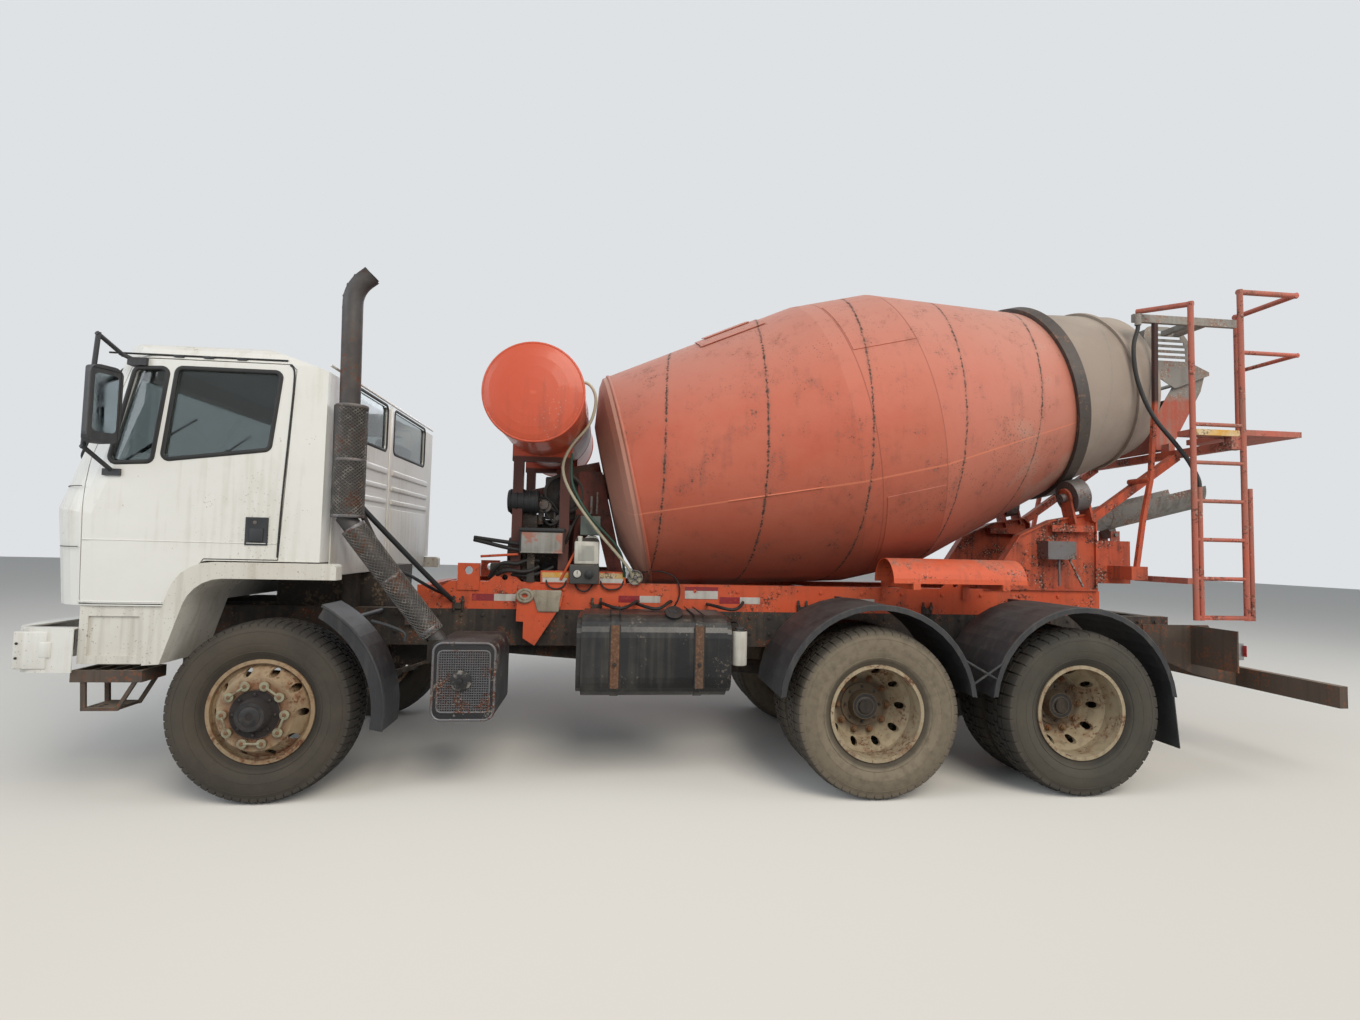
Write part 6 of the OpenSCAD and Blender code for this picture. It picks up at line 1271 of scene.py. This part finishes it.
loops.append(bent_tube([(-0.575, -0.436, 1.334), (-0.50, -0.452, 1.352), (-0.40, -0.456, 1.340),
    (-0.325, -0.452, 1.300), (-0.300, -0.446, 1.230), (-0.300, -0.446, 1.165), (-0.322, -0.444, 1.120),
    (-0.345, -0.436, 1.085)], 0.0055))
settled(loops, "cable_loops", rubber_black)
print("hoses hung:", len(pale_path) + len(green_path), "points")

# %% [markdown]
# ## Tapes and plates, all blank
# Reflecting tape is a thin film: half red, half white, and here without any mark. The plates keep their
# colours only.

# %% Stick the tapes and rivet the plates
# films under a clear coat, and a chalky yellow
tape_red = weathered("red_reflecting_film", "#8f1d26", [
    (*faded, 0.5, "#6d1a20"), ("chips patches", 0.3, 0.36, 0.6, "#b5432c"),
    (*rained_on, 0.4, "#5b3b34")], roughness=0.25, relief=0.02, coat=0.4)
tape_white = weathered("white_reflecting_film", "#c3c0ba", [
    (*faded, 0.5, "#a59f96"),
    ("streaks patches", 0.22, 0.4, 0.5, "#7d7468")], roughness=0.25, relief=0.02, coat=0.4)
plate_yellow = weathered("faded_yellow_plate_paint", "#c9992f", [
    (*faded, 0.6, "#b4823a"), ("patches", 0.42, 0.6, 0.7, "#c8bfa6"),
    ("chips patches", 0.3, 0.36, 0.8, "#5b4a3a")], roughness=0.5)
reds, whites = [], []
for side in both:
    for x0, x1 in ((-1.748, -1.452), (-0.735, -0.438), (-0.010, 0.288), (0.86, 1.15)):
        mid = (x0 + x1) / 2
        face = touch("subframe", (mid, side * 3, 1.140), (0, -side, 0))
        if not face or abs(face.y) > 0.46:
            face = touch("chassis_frame", (mid, side * 3, 1.140), (0, -side, 0))
        for half, start, end in ((reds, x0, mid), (whites, mid + 0.001, x1)):
            half.append(block((start, face.y - 0.0014, 1.118), (end, face.y + 0.0014, 1.166), 0.0006, 1))
settled(reds, "red_tapes", tape_red)
settled(whites, "white_tapes", tape_white)
yellows, papers, backs = [], [], []
for x0, x1 in ((-1.275, -1.090), (-0.875, -0.697)):
    backs.append(block((x0 - 0.010, -0.4375, 1.244), (x1 + 0.010, -0.4290, 1.334), 0.002, 1))
    yellows.append(block((x0, -0.4400, 1.286), (x1, -0.4370, 1.322), 0.001, 1))
    papers.append(block((x0 + 0.004, -0.4400, 1.254), (x1 - 0.010, -0.4370, 1.2855), 0.001, 1))
papers.append(block((-0.262, -0.4345, 1.150), (-0.022, -0.4300, 1.208), 0.001, 1))
settled(backs, "plate_backs", mixer_orange)
settled(yellows, "yellow_blank_plates", plate_yellow)
settled(papers, "white_blank_plates", tape_white)
settled(block((-0.262, -0.4345, 1.2085), (-0.022, -0.4300, 1.236), 0.001, 1), "red_blank_plate", tape_red)
print("stuck", len(reds) + len(whites), "halves of tape")

# %% [markdown]
# ## The water tank
# Its ends are dished and rolled over the shell, which leaves a round bead; the shell itself has two girth
# welds.

# %% Roll the rims and weld the girths
rims = [ring((-1.300, y, 2.455), radius, bead, 96, 10) for y, radius,
    bead in ((-1.072, 0.3065, 0.0095), (1.072, 0.3065, 0.0095), (-0.36, 0.3085, 0.004),
    (0.36, 0.3085, 0.004))]
rims += [post(-1.300, 0.20, 2.755, 2.800, 0.062, 36, 0.006), post(-1.300, 0.20, 2.798, 2.812, 0.072, 36,
    0.005)]
settled(rims, "water_tank_beads", tank_orange)
print("rims and welds:", len(rims) - 2)

# %% [markdown]
# ## The drum's shell
# A drum wears through where the stones rub, and patches are welded over the holes. A patch is a flat grid
# whose points are dropped on to the drum along lines that meet its axis, and is then given its thickness.

# %% Weld patches, the hatch and the head's rim
upward = Vector((-math.sin(drum_tilt), 0.0, math.cos(drum_tilt)))


def on_drum(along, degrees, lift=0.0):
    """The point of the drum's shell that far from its head, at that angle from the top to the left."""
    spoke = upward * math.cos(math.radians(degrees)) - Vector((0, math.sin(math.radians(degrees)), 0))
    place = touch("drum", drum_head + drum_axis * along + spoke * 2.0, -spoke)
    return place + spoke * lift


def shell_patch(along, degrees, lift, thickness):
    """A plate that lies on the drum between two distances along it and two angles round it."""
    return draped(14, 14, lambda s, t: on_drum(along[0] + (along[1] - along[0]) * s,
        degrees[0] + (degrees[1] - degrees[0]) * t, lift), thickness)


patches = [shell_patch((1.640, 2.095), (33, 63), 0.002, 0.005), shell_patch((1.660, 2.080), (118, 150), 0.002,
    0.005)]
settled(patches, "drum_patches", drum_paint, "drum", 30)
settled([shell_patch((0.731, 1.218), (17, 31), 0.008, 0.006), shell_patch((0.80, 1.15), (13, 21), 0.018,
    0.006)], "drum_hatch", drum_paint, "drum", 30)
settled(ring(drum_head + drum_axis * 0.040, 0.822, 0.013, 128, 10, (0, math.radians(90) - drum_tilt, 0)),
    "drum_head_rim", drum_paint, "drum")
welds = [bent_tube([on_drum(s0 + (s1 - s0) * k / 10, seam, 0.001) for k in range(11)], 0.0045,
    smooth_path=False) for seam, s0, s1 in ((110.5, 0.62, 1.24), (-70, 0.62, 1.24), (63, 1.64, 2.09),
    (33, 1.64, 2.09))]
settled(welds, "drum_welds", drum_paint, "drum")
print("patches sit on", len(patches), "places of the drum")

# %% [markdown]
# ## A wedge for the wheel and a coil of rope
# Drivers carry a timber wedge to hold a wheel on a slope. It lies in the orange holder with a coil of old
# rope.

# %% Carry the wedge and its rope
# grey wood under cement dust
timber = weathered("cement_dusted_timber", "#8f8778", [
    (*blotched, 0.6, "#a59d8c"), ("streaks", 0.45, 0.7, 0.6, "#6a6152"),
    ("mottle", 0.5, 0.75, 0.4, "#5c5346")], roughness=0.9, relief=0.9)
wedge = block((-1.330, -0.5520, 1.055), (-1.128, -0.5200, 1.204), 0.010, 3)
for vertex in wedge.data.vertices:
    if vertex.co.z < 0:
        vertex.co.x = vertex.co.x * 0.72 + 0.012
settled(wedge, "timber_wedge", timber)
settled([bent_tube(circle(Vector((-1.375, -0.550, 1.165)), r, 16, 0.8), 0.011, closed=True)
    for r in (0.052, 0.030)], "rope_coil", timber)
print("the wedge is", round(wedge.dimensions.x, 3), "m long")

# %% [markdown]
# ## Mudguard lips, step treads and bolts
# A rolled lip stiffens a guard's edge and shows as a bright line against the dark arch. The front guards end
# in rubber skirts. The bolts are six-sided rods, each touching the rail where it is bolted through.

# %% Roll the lips, dot the steps with painted shade for holes and bolt the frame
rail_face = 0.433
inner_reach = 0.56


def guard_arc(x, y, degrees, reach, limit):
    """Where rays from outside meet the crown of a mudguard, each with its outward direction."""
    arc = []
    hub = Vector((x, y, wheel_radius))
    for a in map(math.radians, degrees):
        spoke = Vector((math.cos(a), 0, math.sin(a)))
        place, normal = facing("mudguards", hub + spoke * reach, -spoke)
        if place and inner_reach < (place - hub).length < limit and normal.dot(spoke) > 0.5:
            arc.append((place, spoke))
    return arc


settled([bent_tube([place - spoke * 0.002 for place, spoke in arc], 0.0085, smooth_path=False)
    for arc in [guard_arc(axle_places[axle], side * 1.238, range(-4, 186, 5), 1.05, 0.80) for side in both
    for axle in ("rear1", "rear2")]], "mudguard_lips", guard_plastic)
skirts = []
for side in both:
    arc = guard_arc(axle_places["front"], side * 1.150, range(-60, 86, 4), 1.10, 0.85)

    def on_skirt(s, t):
        """A point of the skirt: along the arc by s, and from the guard's edge inwards by t."""
        place, spoke = arc[round(s * (len(arc) - 1))]
        return place - spoke * (0.010 + 0.062 * t) + Vector((0, side * (0.014 - 0.006 * t), 0))

    skirts += [draped(len(arc) - 1, 2, on_skirt, 0.007), bent_tube([place + Vector((0, side * 0.012,
        0)) - spoke * 0.004 for place, spoke in arc], 0.0085, smooth_path=False)]
settled(skirts, "front_guard_skirts", guard_plastic, smooth=30)
hook = [(-2.150, -1.215, 1.060), (-2.080, -1.220, 1.045), (-1.965, -1.220, 1.006), (-1.955, -1.220, 0.985),
    (-1.960, -1.220, 0.952)]
long_stay = [(-2.362, -1.050, 1.790), (-2.255, -0.930, 1.640), (-2.060, -0.700, 1.370),
    (-1.900, -0.520, 1.160), (-1.880, -0.430, 1.120)]
short_stay = [(-2.30, -0.70, 1.30), (-2.20, -0.70, 1.36), (-2.06, -0.62, 1.26), (-1.96, -0.52, 1.18),
    (-1.93, -0.43, 1.16)]
settled([bent_tube(hook, 0.009), bent_tube(long_stay, 0.017, sides=5), bent_tube(short_stay, 0.011)],
    "guard_hook_and_pipe_stays", black_plastic)
# The steps are not cut through: each hole is a black disc on the tread, painted shade where a hole would be.
holes = []
for side in both:
    for i in range(7):
        for j in range(3):
            place, normal = facing("cab_steps", (-3.720 + 0.050 * i, side * (1.135 - 0.034 * j), 1.5),
                (0, 0, -1))
            if place and normal.z > 0.9:
                holes.append(post(place.x, place.y, place.z - 0.002, place.z + 0.0012, 0.010, 14))
settled(holes, "step_tread_painted_hole_shade", rubber_black)
heads = {"chassis_frame": [], "subframe": []}
for side in both:
    for node, x, last, step, rows in (("chassis_frame", -2.25, 3.55, 0.145, (0.905, 1.020)),
            ("subframe", -2.05, 2.90, 0.31, (1.205,))):
        while x < last:
            for z in rows:
                place, normal = facing(node, (x, side * 3, z), (0, -side, 0))
                if place and abs(abs(place.y) - rail_face) < 0.006 and abs(normal.y) > 0.9:
                    heads[node].append(pin(place.x, place.z, place.y - side * 0.002, place.y + side * 0.010,
                        0.0125, 6, 0.001))
            x += step
settled(heads["chassis_frame"], "rail_bolts", chassis_black)
settled(heads["subframe"], "subframe_bolts", mixer_orange)
brackets = []
for x in (-1.836, -0.889, 0.60, 1.55):
    for side in both:
        y = side * 0.440
        brackets.append(block((x - 0.040, y - 0.006, 1.060), (x + 0.040, y + 0.006, 1.105), 0.003, 1))
        for bolt_x in (x - 0.030, x + 0.030):
            brackets += [post(bolt_x, y + side * 0.008, 1.050, 1.150, 0.008, 12, 0.001),
                post(bolt_x, y + side * 0.008, 1.106, 1.120, 0.014, 6, 0.001)]
settled(brackets, "frame_clamp_studs", chassis_black)
print("bolts:", sum(len(v) for v in heads.values()), "and tread holes:", len(holes))

# %% [markdown]
# ## A yellow edge on the ladder's platform
# Between the ladder's posts the edge of the platform is painted yellow, so that a boot finds it.

# %% Paint the platform's edge
edge = settled(block((3.286, -0.9525, 2.392), (3.624, -0.9300, 2.4345), 0.001, 1), "yellow_platform_edge",
    plate_yellow)
print("yellow edge:", round(edge.dimensions.x, 3), "m long")

# %% [markdown]
# ## Seats and the rear wash hose
# Both are soft: a cushion is a block with well rounded edges, and the hose is a curve with a round bevel.

# %% Upholster the seats and hang the hose
# coarse dark cloth that shows no shine
seat_cloth = weathered("dark_woven_seat_cloth", "#2c2e33", [
    ("mottle", 0.45, 0.7, 0.5, "#3d3f43"),
    ("patches", 0.45, 0.7, 0.5, "#55514a")], roughness=0.9, relief=0.6, bump_scale=380.0)
for side, hand in hands:
    y = side * 0.600
    top = touch("cab_interior", (-2.95, y, 2.29), (0, 0, -1))
    cushion = block((-3.194, y - 0.254, top.z - 0.150), (-2.700, y + 0.254, top.z + 0.030), 0.034, 5)
    settled(cushion, "seat_cushion_" + hand, seat_cloth, "cab", 60)
    back = block((-0.078, -0.250, -0.345), (0.078, 0.250, 0.345), 0.034, 5)
    back.rotation_euler = (0, math.atan2(0.12, 0.625), 0)
    back.location = (-2.697, y, top.z + 0.285)
    settled(back, "seat_back_" + hand, seat_cloth, "cab", 60)
# The hose's points are counted from the front axle, which lies 2.780 m ahead of the frame's middle.
front_axle_x = 2.780
hose_points = [(5.865, -0.678, 3.255), (5.865, -0.678, 3.225), (5.845, -0.680, 3.180), (5.825, -0.682, 3.120),
    (5.820, -0.684, 3.040), (5.825, -0.686, 2.955), (5.835, -0.688, 2.870), (5.855, -0.692, 2.795),
    (5.880, -0.698, 2.710), (5.910, -0.710, 2.625), (5.940, -0.725, 2.555), (5.970, -0.745, 2.490),
    (6.005, -0.765, 2.430), (6.035, -0.790, 2.370), (6.060, -0.815, 2.310), (6.080, -0.845, 2.250),
    (6.092, -0.875, 2.190), (6.094, -0.905, 2.130), (6.090, -0.932, 2.085), (6.082, -0.950, 2.055),
    (6.082, -0.950, 2.020)]
hose_points = [(x - front_axle_x, y, z) for x, y, z in hose_points]
wash_hose = path_curve(hose_points, 0.015, 5, 5)
wash_hose.name = "rear_wash_hose"
wash_hose.data.name = "wash_hose"
wash_hose.data.materials.append(rubber_black)
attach(wash_hose, "chassis")
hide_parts("rear_hose")
